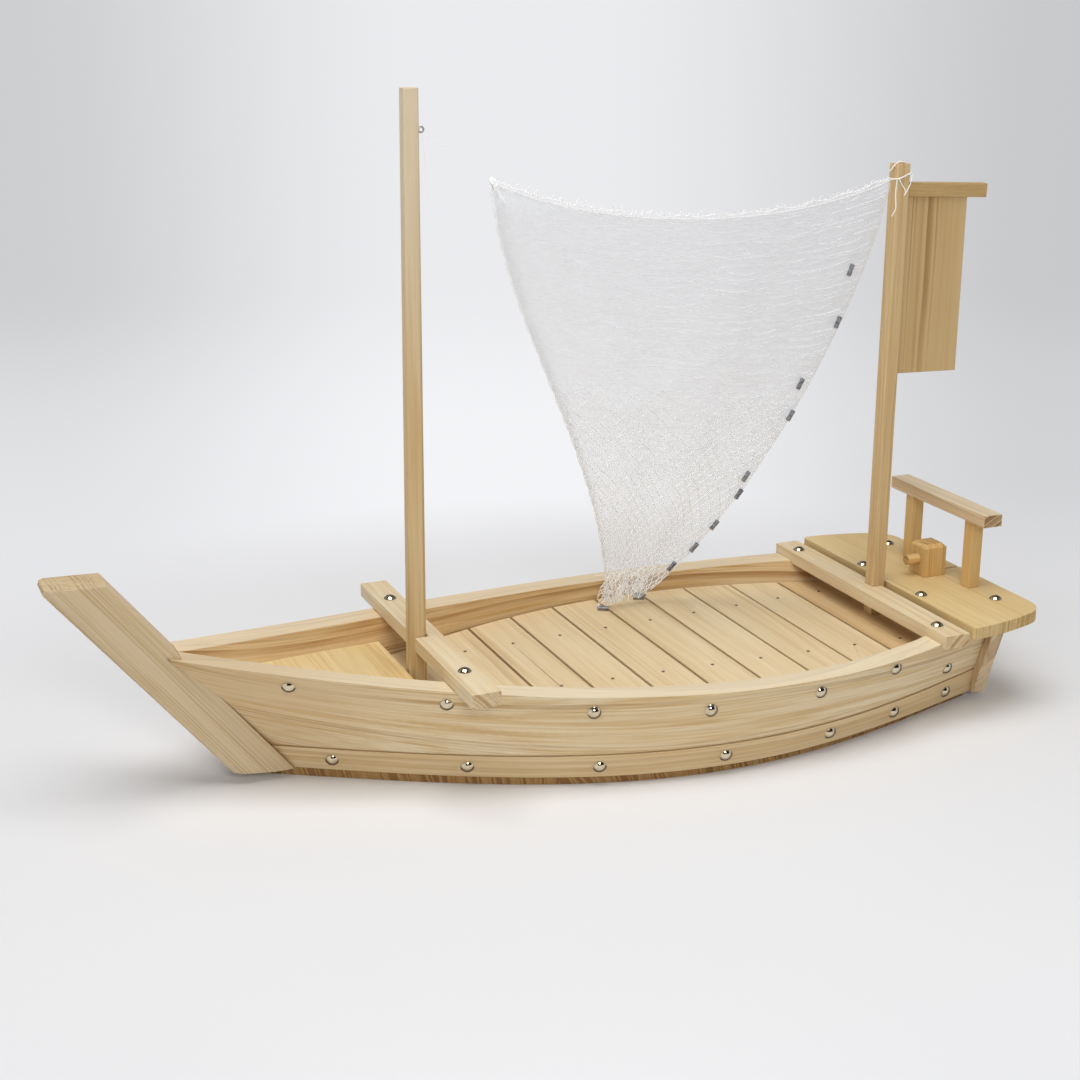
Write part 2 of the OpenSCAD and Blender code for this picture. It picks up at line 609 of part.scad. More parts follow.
// Stern deck. Its sides are long arcs that run into the arcs of the aft corners.
function arc(c, r, a0, a1, n) = [for (i = [0 : n]) let (a = a0 + (a1 - a0) * i / n)
  [c[0] + r * cos(a), c[1] + r * sin(a)]];
module stern_deck() {
  front_r = 3;
  aft_x = stern_deck_x + stern_deck_l;
  lead_in = 4;
  side_c = [stern_deck_x + front_r - stern_side_r * sin(lead_in),
    -stern_deck_w + stern_side_r * cos(lead_in)];
  corner_x = aft_x - stern_corner_r;
  reach = stern_side_r - stern_corner_r;
  corner_y = side_c[1] - sqrt(pow(reach, 2) - pow(corner_x - side_c[0], 2));
  meet = atan2(corner_y - side_c[1], corner_x - side_c[0]);
  half = concat(arc([stern_deck_x + front_r, -stern_deck_w + front_r], front_r, 180, 262, 4),
    arc(side_c, stern_side_r, lead_in - 90, meet, 12),
    arc([corner_x, corner_y], stern_corner_r, meet + 6, 0, 9));
  color(pine) difference() {
    translate([0, 0, stern_deck_h]) linear_extrude(height = stern_deck_t)
      polygon(concat(half, [for (i = [len(half) - 1 : -1 : 0]) [half[i][0], -half[i][1]]]));
    translate([aft_x - rudder_slot_l, rudder_slot_y, stern_deck_h - 1])
      cube([rudder_slot_l + 1, rudder_slot_w, stern_deck_t + 2]);
    head_holes([for (p = stern_nails) [stern_deck_x + p[0], p[1]]], stern_top_h);
  }
}

// Rail, posts and bollard.
module post(side) {
  translate([rail_x - post_w / 2, side * post_y - post_w / 2, stern_top_h + joint_gap])
    cube([post_w, post_w, rail_rise - 2 * joint_gap]);
}
module port_rail_post() { color(pine_warm) post(-1); }
module starboard_rail_post() { color(pine_warm) post(1); }
module rail() {
  color(pine) translate([rail_x - rail_w / 2, -rail_l, rail_h]) cube([rail_w, 2 * rail_l, rail_t]);
}
block_front_x = block_x - block_w / 2;
pin_h = stern_top_h + pin_rise;
module bollard_block() {
  chamfer = block_chamfer;
  top = stern_top_h + block_h;
  color(pine_warm) difference() {
    translate([block_front_x, -block_w / 2, stern_top_h + joint_gap])
      cube([block_w, block_w, block_h - joint_gap]);
    for (a = [0 : 90 : 270]) translate([block_x, 0, top]) rotate([0, 0, a])
      translate([block_w / 2, 0, 0]) rotate([0, 45, 0])
        cube([chamfer * sqrt(2), block_w * 2, chamfer * sqrt(2)], center = true);
    translate([block_front_x - 1, 0, pin_h]) rotate([0, 90, 0])
      cylinder(d = pin_d + 2 * joint_gap, h = pin_depth + 1 + joint_gap, $fn = 48);
  }
}
module bollard_pin() {
  color(pine_warm) translate([block_front_x - pin_out, 0, pin_h]) rotate([0, 90, 0])
    cylinder(d = pin_d, h = pin_out + pin_depth, $fn = 48);
}

// Masts, with chamfered edges. The fore mast tapers.
function chamfered(w, c) = let (h = w / 2) [[h - c, -h], [h, -h + c], [h, h - c],
  [h - c, h], [-h + c, h], [-h, h - c], [-h, -h + c], [-h + c, -h]];
module fore_mast() {
  foot = chamfered(fore_mast_w, fore_mast_chamfer);
  lean = fore_mast_shift(fore_mast_h);
  top = chamfered(fore_mast_top_w, fore_mast_top_chamfer);
  pts = concat([for (p = foot) [p[0], p[1], mast_seat_h]], [for (p = top) [p[0] + lean, p[1], fore_mast_h]]);
  color(pine) difference() {
    translate([fore_mast_x, 0, 0]) polyhedron(pts,
      concat([[for (i = [7 : -1 : 0]) i]], [[for (i = [0 : 7]) i + 8]],
        [for (i = [0 : 7]) [i, (i + 1) % 8, (i + 1) % 8 + 8, i + 8]]));
    translate([fore_mast_aft_x - eye_depth - hole_gap, 0, eye_h]) rotate([0, 90, 0])
      cylinder(d = eye_wire + 0.3 + 2 * hole_gap, h = eye_depth + 3, $fn = 16);
  }
}
module aft_mast() {
  color(pine) translate([aft_mast_x, 0, deck_h + joint_gap])
    linear_extrude(height = aft_mast_h - deck_h - joint_gap) polygon(chamfered(aft_mast_w, aft_mast_chamfer));
}
module behind_mast() {
  translate([aft_mast_rear_x + joint_gap, -big / 2, 0]) cube([big, big, big]);
}
module on_mast(h) { translate([aft_mast_rear_x, 0, h]) rotate([0, 0, -sail_turn]) children(); }
module sail_yard() {
  color(pine) difference() {
    intersection() {
      on_mast(yard_h) rotate([0, yard_droop, 0])
        translate([-5, -yard_w / 2, 0]) cube([yard_l + 5, yard_w, yard_t]);
      behind_mast();
    }
    on_mast(yard_h) rotate([0, yard_droop, 0])
      translate([sail_gap - notch_gap, -sail_t / 2 - joint_gap, -1])
        cube([sail_w + 2 * notch_gap, sail_t + 2 * joint_gap, sail_groove + 1]);
  }
}
module sail_board() {
  near = sail_gap;
  far = sail_gap + sail_w;
  rise = sail_groove - joint_gap;
  color(pine_pale) on_mast(yard_h) rotate([90, 0, 0]) translate([0, 0, -sail_t / 2])
    linear_extrude(height = sail_t)
      polygon([[near, -sail_l], [far, -sail_l], [far, rise - far * tan(yard_droop)],
        [near, rise - near * tan(yard_droop)]]);
}
module screw_eye() {
  neck_d = eye_wire + 0.3;
  color(steel_bright) union() {
    translate([eye_x, 0, eye_h]) rotate([90, 0, 0])
      rotate_extrude($fn = 48) translate([(eye_d - eye_wire) / 2, 0]) circle(d = eye_wire, $fn = 20);
    translate([fore_mast_aft_x - eye_depth, 0, eye_h]) rotate([0, 90, 0])
      cylinder(d = neck_d, h = eye_depth + eye_neck + eye_wire * 0.6, $fn = 20);
  }
}

// Fasteners.
module both_sides() {
  children();
  mirror([0, 1, 0]) children();
}
module upper_strake_nails() {
  color(steel_bright) both_sides() for (i = [0 : len(upper_nails_x) - 1])
    nail_frame(upper_nails_x[i], upper_nails_h[i]) domed_nail();
}
module lower_strake_nails() {
  color(steel_bright) both_sides() for (x = lower_nails_x) nail_frame(x, lower_nails_h) domed_nail();
}
module beam_nails() {
  color(steel_bright) both_sides() {
    translate([fore_beam_x + beam_w / 2, beam_nail_fore_y, fore_beam_h + beam_t]) domed_nail();
    translate([aft_beam_x + beam_w / 2 - 2, beam_nail_aft_y, aft_beam_h + beam_t]) domed_nail();
  }
}
module stern_deck_nails() {
  color(steel_bright) for (p = stern_nails)
    translate([stern_deck_x + p[0], p[1], stern_top_h]) domed_nail();
}
module slat_pin(x, side) {
  translate([x, side * bearer_y(x), deck_h]) {
    translate([0, 0, -slat_pin_l]) cylinder(d = slat_pin_shank_d, h = slat_pin_l, $fn = 16);
    translate([0, 0, 0.05]) cylinder(d = slat_pin_d, h = 0.4, $fn = 24);
    translate([0, 0, -0.5]) cylinder(d = slat_pin_shank_d, h = 0.7, $fn = 16);
  }
}
module slat_pins() {
  color(steel_bright) for (side = [-1, 1]) {
    for (k = [0 : slat_n]) slat_pin(slat_x(k), side);
  }
}

// Net: one wall with a gap in each cell, and ridges where its cords run.
module net() {
  nodes_wide = net_cols + 1;
  ridge = net_t / 2 + net_ridge;
  cell_open = net_open / 2;
  grid = [for (i = [0 : net_rows]) for (j = [0 : net_cols]) each
    [net_pt(j / net_cols, i / net_rows, -ridge), net_pt(j / net_cols, i / net_rows, ridge)]];
  cells = [for (i = [0 : net_rows - 1]) for (j = [0 : net_cols - 1])
    for (d = [[-1, -1], [1, -1], [1, 1], [-1, 1]]) let (s = (j + 0.5 + d[0] * cell_open) / net_cols,
      t = (i + 0.5 + d[1] * cell_open) / net_rows) each [net_pt(s, t, -net_t / 2), net_pt(s, t, net_t / 2)]];
  base = len(grid);
  function g(i, j) = 2 * (i * nodes_wide + j);
  function h(i, j, k) = base + 2 * (4 * (i * net_cols + j) + k % 4);
  cell_faces = [for (i = [0 : net_rows - 1]) for (j = [0 : net_cols - 1])
    let (c = [g(i, j), g(i, j + 1), g(i + 1, j + 1), g(i + 1, j)]) for (k = [0 : 3])
      let (a = c[k], b = c[(k + 1) % 4], p = h(i, j, k), q = h(i, j, k + 1))
        each [[a, b, q], [a, q, p], [b + 1, a + 1, q + 1], [a + 1, p + 1, q + 1], [p, q, q + 1], [p, q + 1, p + 1]]];
  rim = concat([for (j = [0 : net_cols - 1]) [g(0, j + 1), g(0, j)]],
    [for (i = [0 : net_rows - 1]) [g(i, 0), g(i + 1, 0)]],
    [for (j = [0 : net_cols - 1]) [g(net_rows, j), g(net_rows, j + 1)]],
    [for (i = [0 : net_rows - 1]) [g(i + 1, net_cols), g(i, net_cols)]]);
  rim_faces = [for (e = rim) each [[e[0], e[1], e[1] + 1], [e[0], e[1] + 1, e[0] + 1]]];
  color(cord_white) polyhedron(concat(grid, cells), concat(cell_faces, rim_faces));
}

// Lead sinkers in front of the net's aft edge, as places down and across the net, and the ones at its foot.
sinker_places = [[0.192, 0.946], [0.311, 0.977], [0.44, 0.944], [0.512, 0.982], [0.65, 0.941], [0.693, 0.979],
  [0.772, 0.976], [0.833, 0.955], [0.889, 0.885]];
foot_y = net_lean * (net_upright_h - net_foot_h);
module sinker_bar() { cylinder(d = sinker_d, h = sinker_l, center = true, $fn = 24); }
module lying_sinker(x, y, turn) {
  translate([x, y, deck_h + sinker_d / 2 + joint_gap]) rotate([0, 90, turn]) sinker_bar();
}
module net_sinkers() {
  off = -(net_t / 2 + net_ridge + sinker_d / 2 + sinker_gap);
  color(lead_grey) {
    for (q = sinker_places) {
      run = unit(net_pt(q[1], q[0] + 0.01, 0) - net_pt(q[1], q[0] - 0.01, 0));
      translate(net_pt(q[1], q[0], off)) rotate([0, acos(run[2]), atan2(run[1], run[0])]) sinker_bar();
    }
    lying_sinker(net_aft[3][0] + 2.5, foot_y + 7.1, -23);
    lying_sinker(net_aft[3][0] + 7.5, foot_y + 14.4, -20);
    lying_sinker(net_fore[3][0] - 4.3, foot_y - 5.3, -30);
  }
}

// Cords: tubes swept along chosen points, smoothed, with an upright frame carried from ring to ring.
function unit(v) = v / norm(v);
function smooth_pt(p, i, f) = let (n = len(p), a = p[max(0, i - 1)], b = p[i], c = p[min(n - 1, i + 1)],
  d = p[min(n - 1, i + 2)]) 0.5 * ((2 * b) + (c - a) * f + (2 * a - 5 * b + 4 * c - d) * f * f
  + (3 * b - a - 3 * c + d) * f * f * f);
function route(p, per) = concat([for (i = [0 : len(p) - 2]) for (k = [0 : per - 1]) smooth_pt(p, i, k / per)],
  [p[len(p) - 1]]);
function tangents(r) = [for (i = [0 : len(r) - 1]) unit(r[min(len(r) - 1, i + 1)] - r[max(0, i - 1)])];
function carried(t, i, u) = i >= len(t) ? [] : let (w = unit(u - t[i] * (u * t[i])))
  concat([w], carried(t, i + 1, w));
module cord(points, per, d) {
  r = route(points, per);
  t = tangents(r);
  u = carried(t, 0, [0.31, 0.9, 0.3]);
  rings = [for (i = [0 : len(r) - 1]) for (k = [0 : 7]) let (v = cross(t[i], u[i]))
    r[i] + d / 2 * (u[i] * cos(45 * k) + v * sin(45 * k))];
  last = 8 * (len(r) - 1);
  polyhedron(rings, concat([[for (k = [7 : -1 : 0]) k]], [[for (k = [0 : 7]) last + k]],
    [for (i = [0 : len(r) - 2]) for (k = [0 : 7]) let (a = 8 * i + k, b = 8 * i + (k + 1) % 8)
      each [[a, b, a + 8], [b, b + 8, a + 8]]]));
}
net_thread_d = 0.8;
tie_cord_d = 1.2;
eye_low = [eye_x + 0.3, 0, eye_h - eye_d / 2 - 0.7];
net_corner = [net_fore[0][0] - 0.3, 0, net_fore_h + 0.3];
function thread_pt(f, up) = eye_low + f * (net_corner - eye_low) + [0, 0, up];
thread_route = [eye_low, eye_low + [6, 0, -2.5], thread_pt(0.36, 1.4), thread_pt(0.66, 0.4), net_corner];
mast_out = aft_mast_w / 2 + 0.95;
function tie_pt(x, y, up) = [x, y, net_aft_h + up];
tie_route = [tie_pt(net_top_aft_x - 1, -1.9, 0.6), tie_pt(aft_mast_front_x - 0.9, -3.6, 1),
  tie_pt(aft_mast_front_x + 1, -mast_out, 1.4), tie_pt(aft_mast_x, -mast_out - 0.1, 3),
  tie_pt(aft_mast_rear_x - 0.5, -mast_out, 5), tie_pt(aft_mast_rear_x + 1.1, -3, 5.6),
  tie_pt(aft_mast_rear_x + 1.1, 3, 5.8), tie_pt(aft_mast_x + 4, mast_out, 5.8),
  tie_pt(aft_mast_x - 3, mast_out, 5.4), tie_pt(aft_mast_front_x - 1.1, 3.5, 5.4),
  tie_pt(aft_mast_front_x - 1.3, 0, 7.5), tie_pt(aft_mast_front_x - 0.6, -1.5, 10),
  [aft_mast_front_x + 3, -2, aft_mast_h + 1.1], [aft_mast_x + 2, -2, aft_mast_h + 1.1]];
loose_route = [eye_low + [0.2, -1.2, 0], eye_low + [1.4, -1.6, -16], eye_low + [2, -2, -34],
  eye_low + [6, -2.4, -45], eye_low + [14, -2, -47], eye_low + [22, -1.6, -44]];
module loose_thread() { color(cord_white) cord(loose_route, 7, net_thread_d); }
module net_thread() { color(cord_white) cord(thread_route, 12, net_thread_d); }
module tie_cord() { color(cord_white) cord(tie_route, 5, tie_cord_d); }

stem_post();
port_upper_strake();
starboard_upper_strake();
port_lower_strake();
starboard_lower_strake();
bottom_board_fore();
bottom_board_mid();
bottom_board_aft();
transom();
port_bearer();
starboard_bearer();
deck_slat_0();
deck_slat_1();
deck_slat_2();
deck_slat_3();
deck_slat_4();
deck_slat_5();
deck_slat_6();
deck_slat_7();
deck_slat_8();
deck_slat_9();
foredeck();
fore_beam();
aft_beam();
stern_deck();
port_rail_post();
starboard_rail_post();
rail();
bollard_block();
bollard_pin();
fore_mast();
aft_mast();
sail_yard();
sail_board();
screw_eye();
upper_strake_nails();
lower_strake_nails();
beam_nails();
stern_deck_nails();
slat_pins();
net();
net_sinkers();
net_thread();
loose_thread();
tie_cord();
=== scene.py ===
import bpy, math, random
import numpy
from mathutils import Matrix, Vector, noise


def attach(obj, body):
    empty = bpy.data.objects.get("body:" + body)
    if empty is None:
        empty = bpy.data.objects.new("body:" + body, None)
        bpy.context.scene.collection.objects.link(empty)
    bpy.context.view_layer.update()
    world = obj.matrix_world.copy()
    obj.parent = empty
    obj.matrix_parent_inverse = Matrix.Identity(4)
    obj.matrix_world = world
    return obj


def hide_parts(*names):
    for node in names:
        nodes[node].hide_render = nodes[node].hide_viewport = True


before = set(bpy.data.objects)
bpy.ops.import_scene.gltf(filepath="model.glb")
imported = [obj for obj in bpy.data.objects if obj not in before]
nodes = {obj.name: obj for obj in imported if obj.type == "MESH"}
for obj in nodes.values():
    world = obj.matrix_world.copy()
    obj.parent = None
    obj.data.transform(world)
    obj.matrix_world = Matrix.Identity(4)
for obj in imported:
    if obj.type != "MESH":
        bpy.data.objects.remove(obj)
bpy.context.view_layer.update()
print("frame loaded,", len(nodes), "nodes")

# where the photo was taken from, in metres, degrees and millimetres
cameraSpec = {"place": (-0.4673, -1.0809, 0.5127), "turn": (72.425, 0.0, -22.89), "lens": 58.65,
              "sensor": 36, "clip": 60}


def addCamera(spec):
    lensData = bpy.data.cameras.new("photoCamera")
    lensData.sensor_width = spec["sensor"]
    lensData.lens = spec["lens"]
    lensData.clip_end = spec["clip"]
    holder = bpy.data.objects.new("photoCamera", lensData)
    bpy.context.scene.collection.objects.link(holder)
    holder.location = spec["place"]
    holder.rotation_euler = [math.radians(a) for a in spec["turn"]]
    bpy.context.scene.camera = holder


addCamera(cameraSpec)
print("camera placed")


# ---- small helpers for meshes

def deselectAll():
    if bpy.context.object and bpy.context.object.mode != "OBJECT":
        bpy.ops.object.mode_set(mode="OBJECT")
    bpy.ops.object.select_all(action="DESELECT")


def takeUp(obj):  # makes obj the only selected and active object
    deselectAll()
    obj.select_set(True)
    bpy.context.view_layer.objects.active = obj


def meshPiece(name, points, faces):
    mesh = bpy.data.meshes.new(name)
    mesh.from_pydata(points, [], faces)
    mesh.validate()
    piece = bpy.data.objects.new(name, mesh)
    bpy.context.scene.collection.objects.link(piece)
    return piece


def smoothAll(piece, angle=60):
    takeUp(piece)
    bpy.ops.object.shade_smooth_by_angle(angle=math.radians(angle))
    deselectAll()


# ---- shader node groups

def groupShell(name, inputs, outputs):
    group = bpy.data.node_groups.new(name, "ShaderNodeTree")
    for label, kind, start in inputs:
        socket = group.interface.new_socket(label, in_out="INPUT", socket_type=kind)
        if start is not None:
            socket.default_value = start
    for label, kind in outputs:
        group.interface.new_socket(label, in_out="OUTPUT", socket_type=kind)
    return group, group.nodes.new("NodeGroupInput"), group.nodes.new("NodeGroupOutput")


def wire(tree, value, socket):  # a number or colour is written, a socket is linked
    if isinstance(value, bpy.types.NodeSocket):
        tree.links.new(value, socket)
    else:
        socket.default_value = value


def sums(tree, operation, a, b=0.0, clamp=False):
    node = tree.nodes.new("ShaderNodeMath")
    node.operation = operation
    node.use_clamp = clamp
    wire(tree, a, node.inputs[0])
    wire(tree, b, node.inputs[1])
    return node.outputs[0]


def stretch(tree, vector, by):  # multiplies a vector
    node = tree.nodes.new("ShaderNodeVectorMath")
    node.operation = "MULTIPLY"
    wire(tree, vector, node.inputs[0])
    wire(tree, by, node.inputs[1])
    return node.outputs[0]


def joined(tree, a, b):  # adds two vectors
    node = tree.nodes.new("ShaderNodeVectorMath")
    node.operation = "ADD"
    wire(tree, a, node.inputs[0])
    wire(tree, b, node.inputs[1])
    return node.outputs[0]


def cloud(tree, vector, scale=1.0, detail=2.0, rough=0.5, colour=False):
    node = tree.nodes.new("ShaderNodeTexNoise")
    node.inputs["Scale"].default_value = scale
    node.inputs["Detail"].default_value = detail
    node.inputs["Roughness"].default_value = rough
    wire(tree, vector, node.inputs["Vector"])
    return node.outputs["Color" if colour else "Fac"]


def ease(tree, value, low, high, toLow=0.0, toHigh=1.0):
    node = tree.nodes.new("ShaderNodeMapRange")
    node.interpolation_type = "SMOOTHSTEP"
    wire(tree, value, node.inputs["Value"])
    for label, number in (("From Min", low), ("From Max", high), ("To Min", toLow), ("To Max", toHigh)):
        wire(tree, number, node.inputs[label])
    return node.outputs["Result"]


def blendColours(tree, amount, a, b, kind="MIX"):
    node = tree.nodes.new("ShaderNodeMix")
    node.data_type = "RGBA"
    node.blend_type = kind
    wire(tree, amount, node.inputs[0])
    wire(tree, a, node.inputs[6])
    wire(tree, b, node.inputs[7])
    return node.outputs[2]


# the noises are stretched by one number along the board and two across it;
# a tint multiplies the wood's colour
grainSpec = {
    "drift": (2.4, 13, 13), "ripple": (15, 75, 75), "driftShare": 3.2, "rippleShare": 0.28,
    "unevenness": 95.0, "unevenYears": 3.2,
    "fibre": (16, 950, 950), "strand": (7, 240, 240), "blotch": (5, 22, 22), "patch": (5, 90, 90),
    "pores": (1300, 1300, 1300), "endDepth": 4.4, "streakDepth": 0.34, "bandDepth": 0.65,
    "blotchTint": (0.86, 0.74, 0.56, 1), "streakTint": (0.72, 0.58, 0.4, 1),
    # the last colour here is the painted light that pales up-facing tops
    "bandTint": (0.84, 0.72, 0.53, 1), "endTint": (0.78, 0.72, 0.64, 1), "paintedTopLightColour": (0.86, 0.75, 0.55, 1),
    "rough": 0.46, "fibreRough": 0.16, "endRough": 0.16, "fibreHeight": 0.5, "lateHeight": -0.35,
}


def makePineGrain(spec):  # growth rings round a line along X, cut by the board's faces
    tree, inn, out = groupShell("pineGrain", [
        ("Place", "NodeSocketVector", None), ("Facing", "NodeSocketVector", None),
        ("Ring Width", "NodeSocketFloat", 0.0035), ("Wander", "NodeSocketFloat", 0.006),
        ("Late Wood", "NodeSocketFloat", 0.6), ("Pale", "NodeSocketColor", (0.74, 0.6, 0.4, 1)),
        ("Dark", "NodeSocketColor", (0.55, 0.38, 0.19, 1)), ("Fibre", "NodeSocketFloat", 0.5),
        ("Blotch", "NodeSocketFloat", 0.3), ("Painted Top Light", "NodeSocketFloat", 0.0)],
        [("Colour", "NodeSocketColor"), ("Roughness", "NodeSocketFloat"), ("Relief", "NodeSocketFloat")])
    place = inn.outputs["Place"]

    def noiseOf(key, rough=0.6):
        return cloud(tree, stretch(tree, place, spec[key]), 1, 2, rough)

    # the rings' centre line wanders
    drift = cloud(tree, stretch(tree, place, spec["drift"]), 1, 3, 0.45, True)
    ripple = cloud(tree, stretch(tree, place, spec["ripple"]), 1, 2, 0.5, True)
    bent = place
    for field, share in ((drift, spec["driftShare"]), (ripple, spec["rippleShare"])):
        reach = tree.nodes.new("ShaderNodeCombineXYZ")
        wander = sums(tree, "MULTIPLY", inn.outputs["Wander"], share)
        for k in range(3):
            tree.links.new(wander, reach.inputs[k])
        bent = joined(tree, bent, stretch(tree, joined(tree, field, (-0.5, -0.5, -0.5)), reach.outputs[0]))
    across = tree.nodes.new("ShaderNodeVectorMath")
    across.operation = "LENGTH"
    tree.links.new(stretch(tree, bent, (0, 1, 1)), across.inputs[0])
    radius = across.outputs["Value"]

    # years of uneven width and strength, each with its dark late wood
    years = sums(tree, "DIVIDE", radius, inn.outputs["Ring Width"])
    thin = tree.nodes.new("ShaderNodeTexNoise")
    thin.noise_dimensions = "1D"
    thin.inputs["Scale"].default_value = 1.0
    thin.inputs["Detail"].default_value = 1.0
    tree.links.new(sums(tree, "MULTIPLY", radius, spec["unevenness"]), thin.inputs["W"])
    years = sums(tree, "ADD", years, sums(tree, "MULTIPLY", thin.outputs["Fac"], spec["unevenYears"]))
    part = sums(tree, "FRACT", years)
    late = sums(tree, "MULTIPLY", ease(tree, part, 0.15, 0.8), ease(tree, part, 0.82, 1.0, 1.0, 0.0))
    dice = tree.nodes.new("ShaderNodeTexWhiteNoise")
    dice.noise_dimensions = "1D"
    tree.links.new(sums(tree, "FLOOR", years), dice.inputs["W"])
    late = sums(tree, "MULTIPLY", late, ease(tree, dice.outputs["Value"], 0.1, 0.9, 0.15, 1.0))

    facing = tree.nodes.new("ShaderNodeSeparateXYZ")
    tree.links.new(inn.outputs["Facing"], facing.inputs[0])
    endFace = ease(tree, sums(tree, "ABSOLUTE", facing.outputs[0]), 0.72, 0.86)
    patch = ease(tree, noiseOf("patch"), 0.35, 0.62, 0.3, 1.0)
    depth = sums(tree, "MULTIPLY", late, inn.outputs["Late Wood"])
    depth = sums(tree, "MULTIPLY", depth, sums(tree, "MAXIMUM", patch, endFace))
    depth = sums(tree, "MULTIPLY", depth, ease(tree, endFace, 0.0, 1.0, 1.0, spec["endDepth"]), True)
    colour = blendColours(tree, depth, inn.outputs["Pale"], inn.outputs["Dark"])

    # blotches, fine fibre and broader strands darken it
    fibre = noiseOf("fibre")
    warmth = sums(tree, "MULTIPLY", ease(tree, noiseOf("blotch", 0.5), 0.35, 0.7), inn.outputs["Blotch"])
    colour = blendColours(tree, warmth, colour, spec["blotchTint"], "MULTIPLY")
    streak = sums(tree, "MULTIPLY", ease(tree, fibre, 0.35, 0.75), spec["streakDepth"])
    streak = sums(tree, "MULTIPLY", streak, inn.outputs["Fibre"])
    colour = blendColours(tree, streak, colour, spec["streakTint"], "MULTIPLY")
    band = sums(tree, "MULTIPLY", ease(tree, noiseOf("strand"), 0.4, 0.7), spec["bandDepth"])
    band = sums(tree, "MULTIPLY", band, inn.outputs["Fibre"])
    colour = blendColours(tree, band, colour, spec["bandTint"], "MULTIPLY")

    # end faces are darker and porous, and up-facing tops are paled by painted light
    pores = cloud(tree, stretch(tree, place, spec["pores"]), 1, 1, 0.5)
    endTone = sums(tree, "MULTIPLY", endFace, ease(tree, pores, 0.3, 0.7, 0.35, 0.7))
    colour = blendColours(tree, endTone, colour, spec["endTint"], "MULTIPLY")
    worn = sums(tree, "MULTIPLY", ease(tree, facing.outputs[2], 0.55, 0.85), inn.outputs["Painted Top Light"])
    colour = blendColours(tree, worn, colour, spec["paintedTopLightColour"])
    tree.links.new(colour, out.inputs["Colour"])

    rough = sums(tree, "ADD", sums(tree, "MULTIPLY", fibre, spec["fibreRough"]), spec["rough"])
    rough = sums(tree, "ADD", rough, sums(tree, "MULTIPLY", endFace, spec["endRough"]), True)
    tree.links.new(rough, out.inputs["Roughness"])
    relief = sums(tree, "ADD", sums(tree, "MULTIPLY", fibre, spec["fibreHeight"]),
                  sums(tree, "MULTIPLY", late, spec["lateHeight"]))
    tree.links.new(relief, out.inputs["Relief"])
    return tree


def makeSpeckle():  # fine mottling and scuffs for metal and thread
    tree, inn, out = groupShell("speckle", [
        ("Place", "NodeSocketVector", None), ("Size", "NodeSocketFloat", 300.0),
        ("Amount", "NodeSocketFloat", 0.3)],
        [("Mask", "NodeSocketFloat"), ("Fine", "NodeSocketFloat")])
    node = tree.nodes.new("ShaderNodeTexNoise")
    node.inputs["Detail"].default_value = 3
    tree.links.new(inn.outputs["Place"], node.inputs["Vector"])
    tree.links.new(inn.outputs["Size"], node.inputs["Scale"])
    mask = sums(tree, "MULTIPLY", ease(tree, node.outputs["Fac"], 0.35, 0.7), inn.outputs["Amount"])
    tree.links.new(mask, out.inputs["Mask"])
    tree.links.new(cloud(tree, inn.outputs["Place"], 2600, 2), out.inputs["Fine"])
    return tree


pineGrain = makePineGrain(grainSpec)
speckle = makeSpeckle()


def newMaterial(name):
    mat = bpy.data.materials.new(name)
    mat.use_nodes = True
    tree = mat.node_tree
    return mat, tree, tree.nodes["Principled BSDF"]


def addRelief(tree, shader, height, distance, strength=1.0):
    bump = tree.nodes.new("ShaderNodeBump")
    bump.inputs["Strength"].default_value = strength
    bump.inputs["Distance"].default_value = distance
    tree.links.new(height, bump.inputs["Height"])
    tree.links.new(bump.outputs["Normal"], shader.inputs["Normal"])


# how each way of the grain is turned onto X, in degrees
grainTurns = {"long": (0, 0, 0), "cross": (0, 0, -90), "up": (0, 90, 0), "stem": (0, 128.3, 0)}
boardFinish = {"shine": 0.32, "relief": 0.00012, "strength": 0.6}


def pineBoard(name, spec):
    mat, tree, shader = newMaterial("pine_" + name)
    where = tree.nodes.new("ShaderNodeTexCoord")
    group = tree.nodes.new("ShaderNodeGroup")
    group.node_tree = pineGrain
    turn = [math.radians(a) for a in grainTurns[spec["grain"]]]
    place = where.outputs["Object"]
    if spec["bent"]:
        unbent = tree.nodes.new("ShaderNodeAttribute")
        unbent.attribute_name = "grainPlace"
        place = unbent.outputs["Vector"]
    for source, socket, kind in ((place, "Place", "POINT"), (where.outputs["Normal"], "Facing", "VECTOR")):
        turned = tree.nodes.new("ShaderNodeMapping")
        turned.vector_type = kind
        turned.inputs["Rotation"].default_value = turn
        if kind == "POINT":
            turned.inputs["Location"].default_value = [-v for v in spec["pith"]]
        tree.links.new(source, turned.inputs["Vector"])
        tree.links.new(turned.outputs[0], group.inputs[socket])
    for socket, value in (("Ring Width", spec["ring"]), ("Wander", spec["wander"]),
                          ("Late Wood", spec["late"]), ("Pale", (*spec["pale"], 1)),
                          ("Dark", (*spec["dark"], 1)), ("Fibre", spec["fibre"]),
                          ("Blotch", spec["blotch"]), ("Painted Top Light", spec["worn"])):
        group.inputs[socket].default_value = value
    colour = group.outputs["Colour"]
    if spec["tint"]:  # the wood turns to another colour along one axis
        tint = spec["tint"]
        along = tree.nodes.new("ShaderNodeSeparateXYZ")
        tree.links.new(where.outputs["Object"], along.inputs[0])
        share = ease(tree, along.outputs[tint["axis"]], tint["low"], tint["high"], tint["start"], tint["end"])
        colour = blendColours(tree, share, colour, (*tint["colour"], 1))
    tree.links.new(colour, shader.inputs["Base Color"])
    tree.links.new(group.outputs["Roughness"], shader.inputs["Roughness"])
    shader.inputs["Specular IOR Level"].default_value = boardFinish["shine"]
    addRelief(tree, shader, group.outputs["Relief"], boardFinish["relief"], boardFinish["strength"])
    return mat


